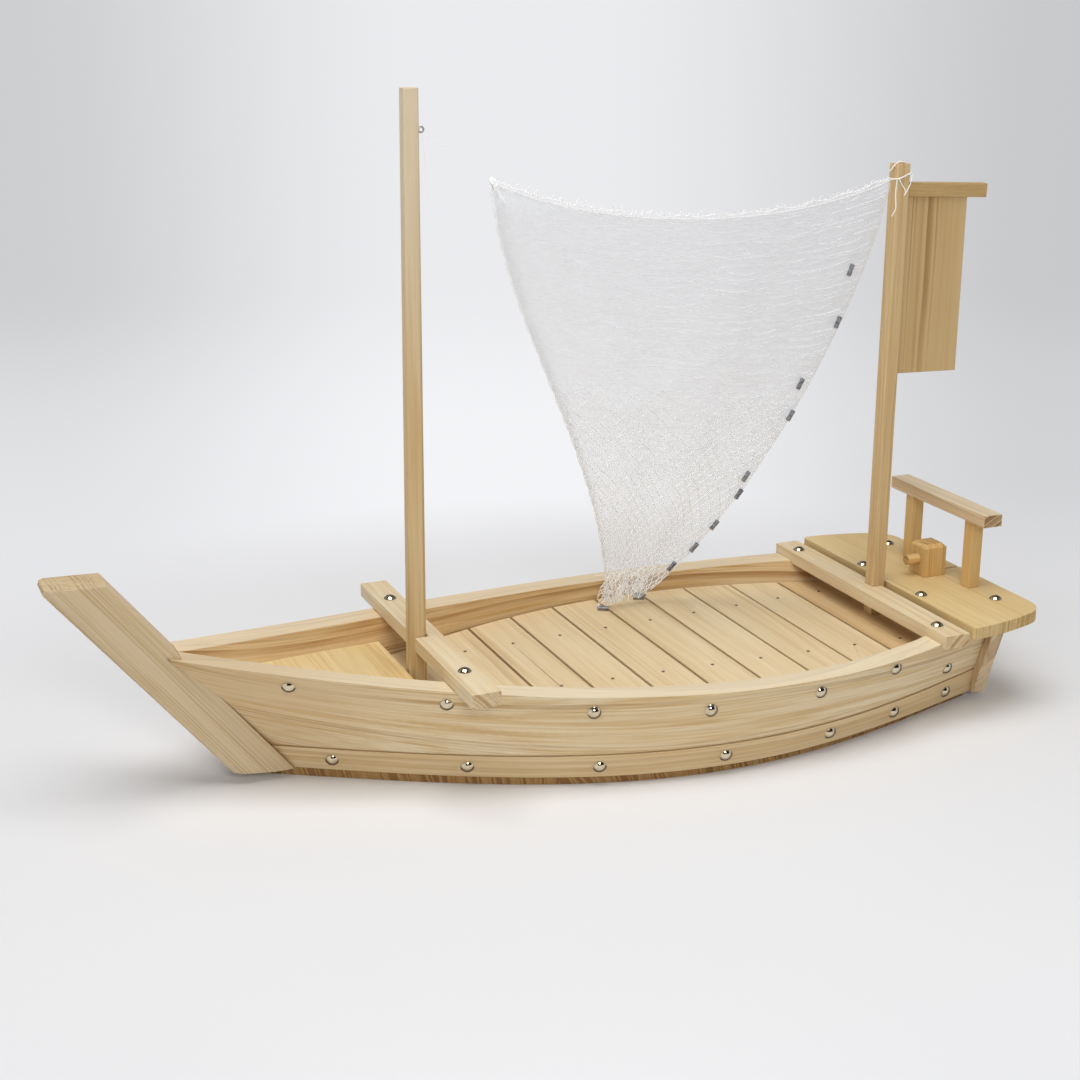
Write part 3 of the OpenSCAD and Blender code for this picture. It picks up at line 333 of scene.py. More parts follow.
def speckled(tree, spec):  # the speckle group, and the tone that it mixes
    where = tree.nodes.new("ShaderNodeTexCoord")
    group = tree.nodes.new("ShaderNodeGroup")
    group.node_tree = speckle
    group.inputs["Size"].default_value = spec["size"]
    group.inputs["Amount"].default_value = spec["amount"]
    tree.links.new(where.outputs["Object"], group.inputs["Place"])
    return group, blendColours(tree, group.outputs["Mask"], (*spec["bright"], 1), (*spec["dull"], 1))


def metalFinish(name, spec):
    mat, tree, shader = newMaterial(name)
    group, tone = speckled(tree, spec)
    if spec["rim"]:  # painted shade: the head darkens towards its edge where it turns from the view, standing for the dark ring of shadow and reflection there
        rim = spec["rim"]
        edge = tree.nodes.new("ShaderNodeLayerWeight")
        edge.inputs["Blend"].default_value = 0.5
        share = ease(tree, edge.outputs["Facing"], rim["low"], rim["high"])
        tone = blendColours(tree, share, tone, (*rim["colour"], 1))
    tree.links.new(tone, shader.inputs["Base Color"])
    shader.inputs["Metallic"].default_value = spec["metal"]
    rough = sums(tree, "MULTIPLY", group.outputs["Mask"], spec["uneven"])
    tree.links.new(sums(tree, "ADD", rough, spec["rough"], True), shader.inputs["Roughness"])
    addRelief(tree, shader, group.outputs["Fine"], spec["pits"], 0.5)
    return mat


def threadFinish(name, spec):
    mat, tree, shader = newMaterial(name)
    group, tone = speckled(tree, spec)
    tree.links.new(tone, shader.inputs["Base Color"])
    rough = sums(tree, "MULTIPLY", group.outputs["Fine"], spec["uneven"])
    tree.links.new(sums(tree, "ADD", rough, spec["rough"], True), shader.inputs["Roughness"])
    shader.inputs["Sheen Weight"].default_value = spec["sheen"]
    shader.inputs["Alpha"].default_value = spec["alpha"]
    shader.inputs["Emission Color"].default_value = (1, 1, 1, 1)  # painted glow: a white emission stands in for light that comes through from behind
    shader.inputs["Emission Strength"].default_value = spec["glow"]
    if spec["fuzz"]:
        addRelief(tree, shader, group.outputs["Fine"], spec["fuzz"], 0.5)
    return mat


def thread(bright, dull, size, rough, sheen, glow=0.0, alpha=1.0, fuzz=0.0001):
    return {"bright": bright, "dull": dull, "size": size, "amount": 0.5, "rough": rough, "uneven": 0.2,
            "sheen": sheen, "glow": glow, "alpha": alpha, "fuzz": fuzz}


# each thread's painted glow is an emission standing in for light that comes through it
threads = {
    "net": thread((0.95, 0.96, 0.98), (0.88, 0.9, 0.92), 160.0, 0.3, 0.3, glow=0.08),
    "rope": thread((0.95, 0.95, 0.95), (0.86, 0.86, 0.85), 500.0, 0.45, 0.2, glow=0.08),
    "clear": thread((0.9, 0.9, 0.93), (0.88, 0.88, 0.91), 500.0, 0.6, 0.1, glow=0.05, alpha=0.07, fuzz=0.0),
    "tie": thread((0.93, 0.9, 0.86), (0.84, 0.74, 0.68), 700.0, 0.5, 0.2),
}
threadLooks = {key: threadFinish("thread_" + key, spec) for key, spec in threads.items()}
print("thread finishes ready")


# ---- cords: the routes are those of the part's source, in metres

# shares of a cord's diameter, the tube's sides and the angle below which it is smooth
cordShape = {"step": 0.45, "twist": 3.4, "sides": 12, "smooth": 70}
cords = {
    "netThread": {
        "node": "net_thread", "diameter": 0.0008, "per": 12, "plies": 0, "look": "clear", "farEnd": "object",
        "lay": "taut",
        "points": [(-0.09256, 0, 0.421), (-0.08656, 0, 0.4185), (-0.07591, 0, 0.41099),
                   (-0.06203, 0, 0.40048), (-0.0463, 0, 0.3893)]},
    "looseThread": {
        "node": "loose_thread", "diameter": 0.0008, "per": 12, "plies": 0, "look": "clear", "farEnd": "bare",
        "lay": "hanging",
        "points": [(-0.09236, -0.0012, 0.421), (-0.09116, -0.0016, 0.405), (-0.09056, -0.002, 0.387),
                   (-0.08656, -0.0024, 0.376), (-0.07856, -0.002, 0.374), (-0.07056, -0.0016, 0.377)]},
    "tieCord": {
        "node": "tie_cord", "diameter": 0.0012, "per": 8, "plies": 3, "look": "tie", "farEnd": "object",
        "lay": "taut",
        "points": [(0.2605, -0.0019, 0.3786), (0.2626, -0.0036, 0.379), (0.2645, -0.00645, 0.3794),
                   (0.269, -0.00655, 0.381), (0.274, -0.00645, 0.383), (0.2756, -0.003, 0.3836),
                   (0.2756, 0.003, 0.3838), (0.273, 0.00645, 0.3838), (0.266, 0.00645, 0.3834),
                   (0.2624, 0.0035, 0.3834), (0.2622, 0, 0.3855), (0.2629, -0.0015, 0.388),
                   (0.2665, -0.002, 0.3906), (0.271, -0.002, 0.3906)]},
}


def smoothRoute(points, per):  # one smooth curve through the points, with per steps between two of them
    pts = [Vector(p) for p in points]
    line = []
    for i in range(len(pts) - 1):
        a, b, c, d = pts[max(0, i - 1)], pts[i], pts[i + 1], pts[min(len(pts) - 1, i + 2)]
        for k in range(per):
            f = k / per
            line.append(0.5 * (2 * b + (c - a) * f + (2 * a - 5 * b + 4 * c - d) * f ** 2
                               + (3 * b - a - 3 * c + d) * f ** 3))
    line.append(pts[-1])
    return line


def lineLength(line):
    return sum((line[i + 1] - line[i]).length for i in range(len(line) - 1))


def evenLine(line, step):  # the same line with its points a step apart
    total = lineLength(line)
    count = max(2, round(total / step))
    even, walked, k = [line[0].copy()], 0.0, 0
    for i in range(1, count):
        goal = total * i / count
        while walked + (line[k + 1] - line[k]).length < goal:
            walked += (line[k + 1] - line[k]).length
            k += 1
        span = (line[k + 1] - line[k]).length
        even.append(line[k].lerp(line[k + 1], (goal - walked) / span))
    even.append(line[-1].copy())
    return even


def sweepTube(line, diameter, sides, points, faces, lobes=0, pitch=0.003):
    # appends a closed tube to the lists; lobes are the plies of a twisted cord
    first = len(points)
    side = None
    walked = 0.0
    for i, here in enumerate(line):
        ahead = (line[min(len(line) - 1, i + 1)] - line[max(0, i - 1)]).normalized()
        if side is None:
            side = Vector((0.31, 0.9, 0.3))
        side = (side - ahead * side.dot(ahead)).normalized()
        other = ahead.cross(side)
        walked += (here - line[i - 1]).length if i else 0
        for k in range(sides):
            angle = 2 * math.pi * k / sides
            reach = diameter / 2
            if lobes:
                reach *= 0.92 + 0.08 * math.cos(lobes * (angle + 2 * math.pi * walked / pitch))
            points.append(tuple(here + reach * (side * math.cos(angle) + other * math.sin(angle))))
    last = len(line) - 1
    for i in range(last):
        for k in range(sides):
            a, b = first + sides * i + k, first + sides * i + (k + 1) % sides
            faces.append((a, b, b + sides, a + sides))
    faces.append(tuple(first + k for k in reversed(range(sides))))
    faces.append(tuple(first + sides * last + k for k in range(sides)))


def layCord(name, spec):
    line = evenLine(smoothRoute(spec["points"], spec["per"]), spec["diameter"] * cordShape["step"])
    points, faces = [], []
    sweepTube(line, spec["diameter"], cordShape["sides"], points, faces, lobes=spec["plies"],
              pitch=spec["diameter"] * cordShape["twist"])
    piece = meshPiece(name, points, faces)
    smoothAll(piece, cordShape["smooth"])
    piece.data.materials.append(threadLooks[spec["look"]])
    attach(piece, "root")
    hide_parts(spec["node"])


for cordName, cordSpec in cords.items():
    layCord(cordName, cordSpec)
print("cords laid")


# ---- the net: knotted strands between two masts, gathered at the foot

# the corners are x and z in millimetres, as in the part's source;
# the folds are a noise's fineness and its depth, and its seed keeps them the same in each run
netSpec = {
    "fore": [(-46, 389), (-36, 300), (70, 174), (82, 52.1)],
    "aft": [(261.5, 378), (261.5, 280), (200, 120), (112, 52.1)],
    "top": [(-46, 389), (30, 354), (170, 343), (261.5, 378)],
    "lean": 0.28, "uprightHeight": 372, "gather": 5, "gathers": 3, "folds": ((30, 0.0022), (120, 0.0003)),
    "foldSeed": 7, "cut": {"width": 0.312, "length": 0.345},
}
veilSpec = {
    "columns": 68, "rows": 75, "colour": (0.88, 0.9, 0.93), "rough": 0.6, "cover": (0.42, 0.5),
    "cloudy": 0.08, "foreEdge": 0.45, "aftEdge": 0.2, "openFoot": 0.12,
}
strandSpec = {
    "seed": 41, "strand": 0.0005, "ahead": -0.0006, "courses": 46, "coursesTo": 0.66, "reach": (0.05, 0.2),
    "sag": (-0.006, 0.01), "columns": 15, "rows": 60, "firstRow": 27, "ripeIn": 16, "footRise": 2.4,
}
# the corner's knot goes through places on the net, each with a step in x and z;
# the tie's ends are in millimetres
edgingSpec = {
    "seed": 42, "stitches": 90, "rope": 0.0008, "upperRope": 0.0007, "rise": 0.0024, "lacing": 0.0004,
    "tuft": 0.0005, "twist": 0.004, "foreRope": 0.0009, "scallops": 200, "scallop": 0.0009,
    "cornerKnot": [(0.0, 0.0, 0.0008, 0.0016), (0.01, 0.0, 0.0016, 0.0004), (0.012, 0.012, 0.0012, 0.0),
                   (0.02, 0.03, 0.0014, 0.0), (0.03, 0.038, 0.0004, 0.0)],
    "knot": 0.0026, "knotTurns": 5, "knotTurn": 0.0011,
    "tieEnds": [[(275, -7.2, 382.5), (273.6, -7.7, 376), (271, -7.8, 371), (268.7, -7.6, 367.5)],
                [(264, -7.1, 379.5), (266.6, -7.7, 375), (269.6, -7.8, 370.6), (268.7, -7.6, 367.5)],
                [(262.2, -7.2, 378.5), (261.6, -7.3, 368), (262.4, -7.4, 359), (259.4, -7.2, 353)]],
    "tieEnd": 0.0007, "looseStrands": 150, "looseStrand": 0.0005, "slats": 0.0497,
}


def bezierPoint(corners, t):
    while len(corners) > 1:
        corners = [tuple(a * (1 - t) + b * t for a, b in zip(*pair)) for pair in zip(corners, corners[1:])]
    return corners[0]


def netPoint(s, t):  # s runs from the fore edge to the aft one, t from the head to the foot
    spec = netSpec
    a, b, top = bezierPoint(spec["fore"], t), bezierPoint(spec["aft"], t), bezierPoint(spec["top"], s)
    fore, aft = spec["fore"][0], spec["aft"][0]
    x, z = (a[k] * (1 - s) + b[k] * s + (top[k] - fore[k] * (1 - s) - aft[k] * s) * (1 - t) ** 2
            for k in (0, 1))
    y = spec["lean"] * max(0, spec["uprightHeight"] - z)
    y += spec["gather"] * t * (1 - t / 2) * math.sin(2 * math.pi * spec["gathers"] * s)
    return Vector((x, y, z)) * 0.001


def crumple(s, t):  # a point of the net with its small folds
    p = netPoint(s, t)
    inner = min(1.0, 6 * s, 6 * (1 - s), 5 * t)  # they fade towards the edges
    folds = [noise.noise_vector(p * fine) * depth * inner for fine, depth in netSpec["folds"]]
    return p + folds[0] + folds[1]


def hangVeil(spec):  # the cloth of fine strands that the thicker ones lie in
    wide, tall = spec["columns"], spec["rows"]
    points = [tuple(crumple(j / wide, i / tall)) for i in range(tall + 1) for j in range(wide + 1)]
    faces = []
    for i in range(tall):
        for j in range(wide):
            a = i * (wide + 1) + j
            faces.append((a, a + wide + 1, a + wide + 2, a + 1))
    piece = meshPiece("netVeil", points, faces)
    plan = piece.data.uv_layers.new(name="weave")
    for loop in piece.data.loops:
        i, j = divmod(loop.vertex_index, wide + 1)
        plan.data[loop.index].uv = (j / wide, i / tall)
    smoothAll(piece, 180)
    mat, tree, shader = newMaterial("thread_veil")
    weave = tree.nodes.new("ShaderNodeUVMap")
    weave.uv_map = "weave"
    wavy = cloud(tree, stretch(tree, weave.outputs[0], (14, 40, 1)), 1, 3, 0.6)
    lines = cloud(tree, stretch(tree, weave.outputs[0], (12, 260, 1)), 1, 2, 0.5)
    cover = sums(tree, "ADD", ease(tree, lines, 0.38, 0.66, *spec["cover"]),
                 ease(tree, wavy, 0.35, 0.7, 0.0, spec["cloudy"]))
    split = tree.nodes.new("ShaderNodeSeparateXYZ")
    tree.links.new(weave.outputs[0], split.inputs[0])
    cover = sums(tree, "ADD", cover, ease(tree, split.outputs[0], 0.0, 0.06, spec["foreEdge"], 0.0))
    cover = sums(tree, "ADD", cover, ease(tree, split.outputs[0], 0.985, 1.0, 0.0, spec["aftEdge"]))
    cover = sums(tree, "SUBTRACT", cover, ease(tree, split.outputs[1], 0.5, 0.8, 0.0, spec["openFoot"]), True)
    tree.links.new(cover, shader.inputs["Alpha"])
    shader.inputs["Base Color"].default_value = (*spec["colour"], 1)
    shader.inputs["Roughness"].default_value = spec["rough"]
    piece.data.materials.append(mat)
    return piece


def knitNet(spec):  # the thicker strands
    rng = random.Random(spec["seed"])
    points, faces = [], []
    ahead = Vector((0, spec["ahead"], 0))
    for i in range(spec["courses"]):  # long slack strands towards the aft mast
        t = (i + 0.5 + rng.uniform(-0.25, 0.25)) / spec["courses"] * spec["coursesTo"]
        s = rng.uniform(0.08, 0.4)
        while s < 0.97:
            end = min(0.99, s + rng.uniform(*spec["reach"]))
            sag, steps = rng.uniform(*spec["sag"]), 7
            line = [crumple(s + (end - s) * k / steps,
                            t + sag * math.sin(math.pi * k / steps) + 0.0007 * math.sin(k * 2.3 + i)) + ahead
                    for k in range(steps + 1)]
            thickness = spec["strand"] * rng.uniform(0.4, 0.9) * min(1.4, 0.25 + 1.3 * s)
            sweepTube(line, thickness, 4, points, faces)
            s = end + rng.uniform(-0.01, 0.05)
    wide, tall = spec["columns"], spec["rows"]
    grid = {}
    for i in range(spec["firstRow"], tall + 1):  # drawn-out meshes in the gathered lower half
        for j in range(wide + 1):
            s = min(1.0, max(0.0, (j + (0.5 if i % 2 else 0.0) + rng.uniform(-0.08, 0.08)) / wide))
            grid[i, j] = crumple(s, min(1.0, (i + rng.uniform(-0.1, 0.1)) / tall)) + ahead
    for i in range(spec["firstRow"], tall):
        ripe = min(1.0, 0.25 + (i - spec["firstRow"]) / spec["ripeIn"])
        for j in range(wide + 1):
            lowest = tall - round(spec["footRise"] * max(0.0, j / wide - 0.25))
            for k in (j, j + 1 if i % 2 else j - 1):
                if (i + 1, k) not in grid or i + 1 > lowest:
                    continue  # past the side edges, or past the foot, which rises towards the sinkers
                a, b = grid[i, j], grid[i + 1, k]
                middle = (a + b) / 2 + Vector((rng.uniform(-0.4, 0.4), rng.uniform(-0.4, 0), 0)) * 0.001
                sweepTube([a, middle, b], spec["strand"] * (0.1 + 1.05 * ripe), 4, points, faces)
    piece = meshPiece("netStrands", points, faces)
    piece.data.materials.append(threadLooks["net"])
    return piece


def knitEdging(spec):  # head rope, its lacing and tufts, knots, and the loose ends at the foot
    rng = random.Random(spec["seed"])
    points, faces = [], []
    stitches, twist = spec["stitches"], spec["twist"]
    low = [netPoint(k / stitches, 0) + Vector((0, -0.0004, 0.0002)) for k in range(stitches + 1)]
    high = [p + Vector((0, 0, spec["rise"] + 0.0008 * math.sin(i * 0.9) + 0.0004 * rng.uniform(-1, 1)))
            for i, p in enumerate(low)]
    high[0], high[-1] = low[0] + Vector((0, 0, 0.001)), low[-1] + Vector((0, 0, 0.001))
    sweepTube(evenLine(low, 0.0012), spec["rope"], 6, points, faces, lobes=2, pitch=twist)
    sweepTube(evenLine(high, 0.0012), spec["upperRope"], 6, points, faces, lobes=2, pitch=twist)
    for i in range(1, stitches):
        a, b = low[i], high[i]
        side = Vector((0.0012 * rng.uniform(-1, 1), -0.0006, 0))
        tip = b + Vector((0.0015 * rng.uniform(-1, 1), -0.0003, rng.uniform(0.0002, 0.003)))
        sweepTube([a + side, (a + tip) / 2 + side * 1.4, tip], spec["lacing"], 5, points, faces)
        if i % 2:
            bow = tip + Vector((0.002 * rng.uniform(-1, 1), 0, 0.0012))
            sweepTube([tip, bow, high[min(stitches, i + 1)]], spec["tuft"], 4, points, faces)

    knot = [netPoint(s, t) + Vector((x, -0.0008, z)) for s, t, x, z in spec["cornerKnot"]]
    sweepTube(evenLine(smoothRoute(knot, 6), 0.0006), spec["knot"], 10, points, faces, lobes=2, pitch=0.009)
    for k in range(spec["knotTurns"]):
        centre = knot[0].lerp(knot[2], 0.1 + 0.2 * k) + Vector((0, 0, 0.0003 * rng.uniform(-1, 1)))
        ring = [centre + Vector((0.0012 * math.cos(a), 0.0015 * math.sin(a + 0.6 * k), 0.0019 * math.sin(a)))
                for a in [2 * math.pi * m / 14 for m in range(13)]]
        sweepTube(ring, spec["knotTurn"], 6, points, faces)

    # the fore edge: a rope down its upper third, and small scallops all the way
    upper = [netPoint(0, t / 40) + Vector((0.0004, -0.0004, 0)) for t in range(14)]
    sweepTube(upper, spec["foreRope"], 6, points, faces, lobes=2, pitch=twist)
    edge = [netPoint(0, k / spec["scallops"])
            + Vector((-spec["scallop"] * abs(math.sin(k * 0.35)), -0.0005, 0))
            for k in range(spec["scallops"] - 4)]
    sweepTube(edge, spec["upperRope"], 5, points, faces)
    for route in spec["tieEnds"]:
        line = evenLine(smoothRoute([Vector(p) * 0.001 for p in route], 6), 0.0006)
        sweepTube(line, spec["tieEnd"], 6, points, faces, lobes=2, pitch=0.003)

    for k in range(spec["looseStrands"]):  # over the foot, which rises towards the sinkers
        s, t = rng.uniform(0.0, 0.8), rng.uniform(0.92, 1.0)
        a = netPoint(s, t - 0.035 * s)
        b = a + Vector((rng.uniform(-1, 0.4) * 0.008, rng.uniform(-0.004, 0.002), rng.uniform(-1, 1) * 0.009))
        b.z = max(spec["slats"] + 0.01 * s, b.z)
        c = b + Vector((rng.uniform(-1, 1) * 0.004, rng.uniform(-0.003, 0.001), rng.uniform(-1, 0.4) * 0.006))
        c.z = max(spec["slats"] - 0.0002 + 0.009 * s, c.z)
        a.z = max(spec["slats"], a.z)
        middle = (a + b) / 2 + Vector((0.0006, -0.0008, 0.0006))
        sweepTube([a, middle, b, c], spec["looseStrand"], 4, points, faces)
    piece = meshPiece("netEdging", points, faces)
    piece.data.materials.append(threadLooks["rope"])
    return piece


noise.seed_set(netSpec["foldSeed"])
veil, net, edging = hangVeil(veilSpec), knitNet(strandSpec), knitEdging(edgingSpec)
print("net knitted,", len(net.data.polygons), "faces")
for piece in (veil, net, edging):
    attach(piece, "root")
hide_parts("net")


# ---- lead sinkers: folded strips round the net's edge

# places are t and s on the net; lying ones have x, y from the net's foot, and a turn in degrees
sinkerSpec = {
    "places": [(0.192, 0.946), (0.311, 0.977), (0.44, 0.944), (0.512, 0.982), (0.65, 0.941), (0.693, 0.979),
               (0.772, 0.976), (0.833, 0.955), (0.889, 0.885)],
    "lying": [(0.1145, 0.0071, -23), (0.1195, 0.0144, -20), (0.0777, -0.0053, -30)],
    "diameter": 0.0034, "length": 0.0086, "wall": 0.0006, "stand": 0.0031, "deck": 0.0484, "lift": 0.0001,
    "sides": 20, "slit": 0.93, "soft": 0.00012, "firstTurn": 150, "nextTurn": 37,
    "bright": (0.34, 0.35, 0.38), "dull": (0.15, 0.15, 0.17), "size": 420.0, "amount": 0.9, "metal": 0.5,
    "rough": 0.38, "uneven": 0.25, "pits": 0.0001, "rim": None,
}


def makeSinker(spec):  # a tube with its slit open and its lips turned in
    deselectAll()
    bpy.ops.mesh.primitive_cylinder_add(vertices=spec["sides"], radius=spec["diameter"] / 2,
                                        depth=spec["length"], end_fill_type="NOTHING", location=(0, 0, 0))
    sinker = bpy.context.object
    sinker.name = "sinkerPattern"
    mesh = sinker.data
    bpy.ops.object.mode_set(mode="EDIT")
    bpy.ops.mesh.select_all(action="DESELECT")
    bpy.ops.mesh.select_mode(type="FACE")
    bpy.ops.object.mode_set(mode="OBJECT")
    for f in mesh.polygons:
        f.select = f.center.x > spec["diameter"] / 2 * spec["slit"]
    bpy.ops.object.mode_set(mode="EDIT")
    bpy.ops.mesh.delete(type="FACE")
    bpy.ops.mesh.select_all(action="SELECT")
    bpy.ops.mesh.subdivide(number_cuts=1)
    bpy.ops.object.mode_set(mode="OBJECT")
    for v in mesh.vertices:  # hand-pressed dents
        v.co.x *= 1 - 0.06 * math.sin(v.co.z * 700 + 1)
        v.co.y *= 1 - 0.05 * math.cos(v.co.z * 500)
    wall = sinker.modifiers.new("wall", "SOLIDIFY")
    wall.thickness = spec["wall"]
    wall.offset = -1
    soft = sinker.modifiers.new("soft", "BEVEL")
    soft.width = spec["soft"]
    soft.segments = 2
    for modifier in ("wall", "soft"):
        bpy.ops.object.modifier_apply(modifier=modifier)
    smoothAll(sinker, 50)
    return sinker


def setSinkers(spec):
    pattern = makeSinker(spec)
    spots = []
    for t, s in spec["places"]:
        run = (netPoint(s, t + 0.01) - netPoint(s, t - 0.01)).normalized()
        turn = Matrix.Rotation(math.atan2(run.y, run.x), 4, "Z") @ Matrix.Rotation(math.acos(run.z), 4, "Y")
        spots.append(Matrix.Translation(netPoint(s, t) - Vector((0, spec["stand"], 0))) @ turn)
    for x, y, turn in spec["lying"]:
        place = (x, netPoint(0, 1).y + y, spec["deck"] + spec["diameter"] / 2 + spec["lift"])
        spots.append(Matrix.Translation(place) @ Matrix.Rotation(math.radians(turn), 4, "Z")
                     @ Matrix.Rotation(math.radians(90), 4, "Y"))
    copies = []
    for i, spot in enumerate(spots):
        part = bpy.data.objects.new("sinkerCopy", pattern.data.copy())
        bpy.context.scene.collection.objects.link(part)
        rolled = Matrix.Rotation(math.radians(spec["firstTurn"] + spec["nextTurn"] * i), 4, "Z")
        part.data.transform(spot @ rolled)
        copies.append(part)
    bpy.data.objects.remove(pattern)
    takeUp(copies[0])
    for part in copies:
        part.select_set(True)
    bpy.ops.object.join()
    sinkers = bpy.context.object
    sinkers.name = "leadSinkers"
    sinkers.data.materials.clear()
    sinkers.data.materials.append(metalFinish("lead", spec))
    deselectAll()
    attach(sinkers, "root")
    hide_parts("net_sinkers")


setSinkers(sinkerSpec)
print("sinkers set")


# ---- boards: each is the source's own solid with its arrises eased, in a board of its own grain

# pale early wood and dark late wood
tones = {
    "hull": ((0.80, 0.67, 0.45), (0.48, 0.33, 0.17)),
    "lower": ((0.73, 0.57, 0.34), (0.46, 0.30, 0.14)),
    # the inner tone is painted shade: a darker, redder copy of the hull's wood for faces that lie in shade,
    # the far strake, the bearers and the last slat
    "inner": ((0.74, 0.55, 0.31), (0.42, 0.24, 0.09)),
    "deck": ((0.83, 0.68, 0.44), (0.58, 0.41, 0.20)),
    "straw": ((0.86, 0.69, 0.38), (0.64, 0.45, 0.19)),
    "yellow": ((0.77, 0.60, 0.31), (0.56, 0.38, 0.14)),
    "pale": ((0.82, 0.69, 0.47), (0.58, 0.41, 0.22)),
    "stem": ((0.67, 0.54, 0.35), (0.45, 0.32, 0.17)),
    "mast": ((0.71, 0.54, 0.30), (0.44, 0.29, 0.12)),
    "sail": ((0.60, 0.43, 0.21), (0.34, 0.20, 0.07)),
    "yard": ((0.52, 0.36, 0.16), (0.38, 0.24, 0.09)),
    "block": ((0.76, 0.54, 0.24), (0.46, 0.28, 0.10)),
    "rail": ((0.72, 0.58, 0.39), (0.36, 0.23, 0.11)),
    # the bottom boards' own brown, deepened into painted shade, since they lie in the shade under the hull
    # and at the stern gap
    "paintedShadeBrown": ((0.50, 0.325, 0.135), (0.30, 0.165, 0.06)),
}


# the tops' share of painted light pales the faces that turn up
def board(grain, pith, tone, ring=0.0035, wander=0.006, late=0.7, fibre=0.8, blotch=0.35, ease=0.0004,
          worn=0.0, bent=False, tint=None):
    pale, dark = tones[tone]
    return {"grain": grain, "pith": pith, "pale": pale, "dark": dark, "ring": ring, "wander": wander,
            "late": late, "fibre": fibre, "blotch": blotch, "ease": ease, "worn": worn, "bent": bent,
            "tint": tint}


boards = {
    "stem_post": board("stem", (0.3, 0.02, -0.23), "stem", ring=0.0026, late=0.6, wander=0.004, ease=0.0006),
    "port_upper_strake": board("long", (0.4, 0.07, -0.17), "hull", ring=0.0046, wander=0.003, late=0.85,
                               fibre=1.3, ease=0.0007, worn=0.62, bent=True,
                               # painted shade, partly the wood's own browner patch: the strake turns darker
                               # brown towards the bow, which faces away from the light
                               tint={"axis": "X", "low": -0.26, "high": -0.1, "start": 0.42, "end": 0.0,
                                     "colour": (0.49, 0.3, 0.12)}),
    "starboard_upper_strake": board("long", (0.9, -0.06, -0.16), "inner", ring=0.0055, wander=0.003, late=1.2,
                                    fibre=1.5, ease=0.0007, worn=0.55, bent=True),
    "port_lower_strake": board("long", (0.2, 0.05, -0.2), "lower", ring=0.005, wander=0.004, late=0.5,
                               ease=0.0005, bent=True),
    "starboard_lower_strake": board("long", (0.7, 0.05, -0.2), "lower", ring=0.005, wander=0.004, late=0.5,
                                    ease=0.0005, bent=True),
    "bottom_board_fore": board("cross", (0.1, 0.3, -0.03), "paintedShadeBrown", ring=0.004, ease=0.0003),
    "bottom_board_mid": board("cross", (0.4, 0.1, -0.05), "paintedShadeBrown", ring=0.004, ease=0.0003),
    "bottom_board_aft": board("cross", (0.8, -0.3, -0.05), "paintedShadeBrown", ring=0.004, ease=0.0003),
    "transom": board("up", (0.2, 0.05, -0.35), "rail", ring=0.003, ease=0.0004),
    "port_bearer": board("long", (0.1, 0.02, -0.05), "inner", ease=0.0003),
    "starboard_bearer": board("long", (0.5, 0.02, -0.05), "inner", ease=0.0003),
    "foredeck": board("cross", (0.3, 0.2, -0.2), "straw", ring=0.006, wander=0.012, late=0.7, ease=0.0003),
    "fore_beam": board("cross", (0.1, 0.15, 0.03), "pale", ring=0.003, late=0.45, wander=0.002, ease=0.0005),
    "aft_beam": board("cross", (0.6, -0.3, 0.03), "pale", ring=0.003, late=0.45, wander=0.002, ease=0.0005),
    "stern_deck": board("cross", (0.2, -0.62, 0.06), "yellow", ring=0.0034, wander=0.003, late=0.32,
                        fibre=0.5, ease=0.0005),
    "port_rail_post": board("up", (0.1, 0.1, -0.36), "block", ring=0.0025, late=0.5),
    "starboard_rail_post": board("up", (0.4, -0.1, -0.36), "block", ring=0.0025, late=0.5),
    "rail": board("cross", (0.3, -0.36, 0.06), "rail", ring=0.0024, late=0.9, ease=0.0005, worn=0.3),
    "bollard_block": board("up", (0.2, 0.0, -0.39), "block", ring=0.0028, late=0.85, ease=0.0004),
    "bollard_pin": board("long", (0.1, 0.01, 0.02), "block", ring=0.0025, ease=0.0003),
    "fore_mast": board("up", (0.2, 0.03, 0.06), "mast", ring=0.0032, late=0.85, wander=0.004, ease=0.0004,
                       tint={"axis": "Z", "low": 0.2, "high": 0.44, "start": 0.0, "end": 0.6,
                             "colour": (0.8, 0.71, 0.55)}),
    "aft_mast": board("up", (0.7, 0.03, -0.33), "mast", ring=0.0034, late=0.8, wander=0.009, ease=0.0004),
    "sail_yard": board("long", (0.3, 0.02, 0.31), "yard", ring=0.0022, late=0.6, ease=0.0004),
    "sail_board": board("up", (0.1, 0.06, -0.4), "sail", ring=0.0043, late=1.15, fibre=0.3, wander=0.003,
                        ease=0.0004),
}
slatSpec = {"count": 10, "seed": 7, "first": 0.09, "pitch": 0.0384, "shadedTone": "inner"}
slatRng = random.Random(slatSpec["seed"])
for k in range(slatSpec["count"]):
    slatPith = (slatRng.uniform(0, 3),
                slatSpec["first"] - slatSpec["pitch"] * k + slatRng.uniform(-0.05, 0.05),
                slatRng.uniform(-0.06, 0.02))
    # the last slat lies in the aft beam's shadow, and its tone is painted shade
    slatTone = slatSpec["shadedTone"] if k == slatSpec["count"] - 1 else "deck"
    boards["deck_slat_%d" % k] = board(
        "cross", slatPith, slatTone, ring=slatRng.uniform(0.004, 0.007), wander=0.004, fibre=0.55,
        late=slatRng.uniform(0.35, 0.6), ease=0.0004)
finished = {
    "upper_strake_nails": "nail", "lower_strake_nails": "nail", "beam_nails": "nail",
    "stern_deck_nails": "nail", "slat_pins": "pin", "screw_eye": "eye",
}


def pieceName(node):
    words = node.split("_")
    return words[0] + "".join(w.capitalize() for w in words[1:]) + "Finished"


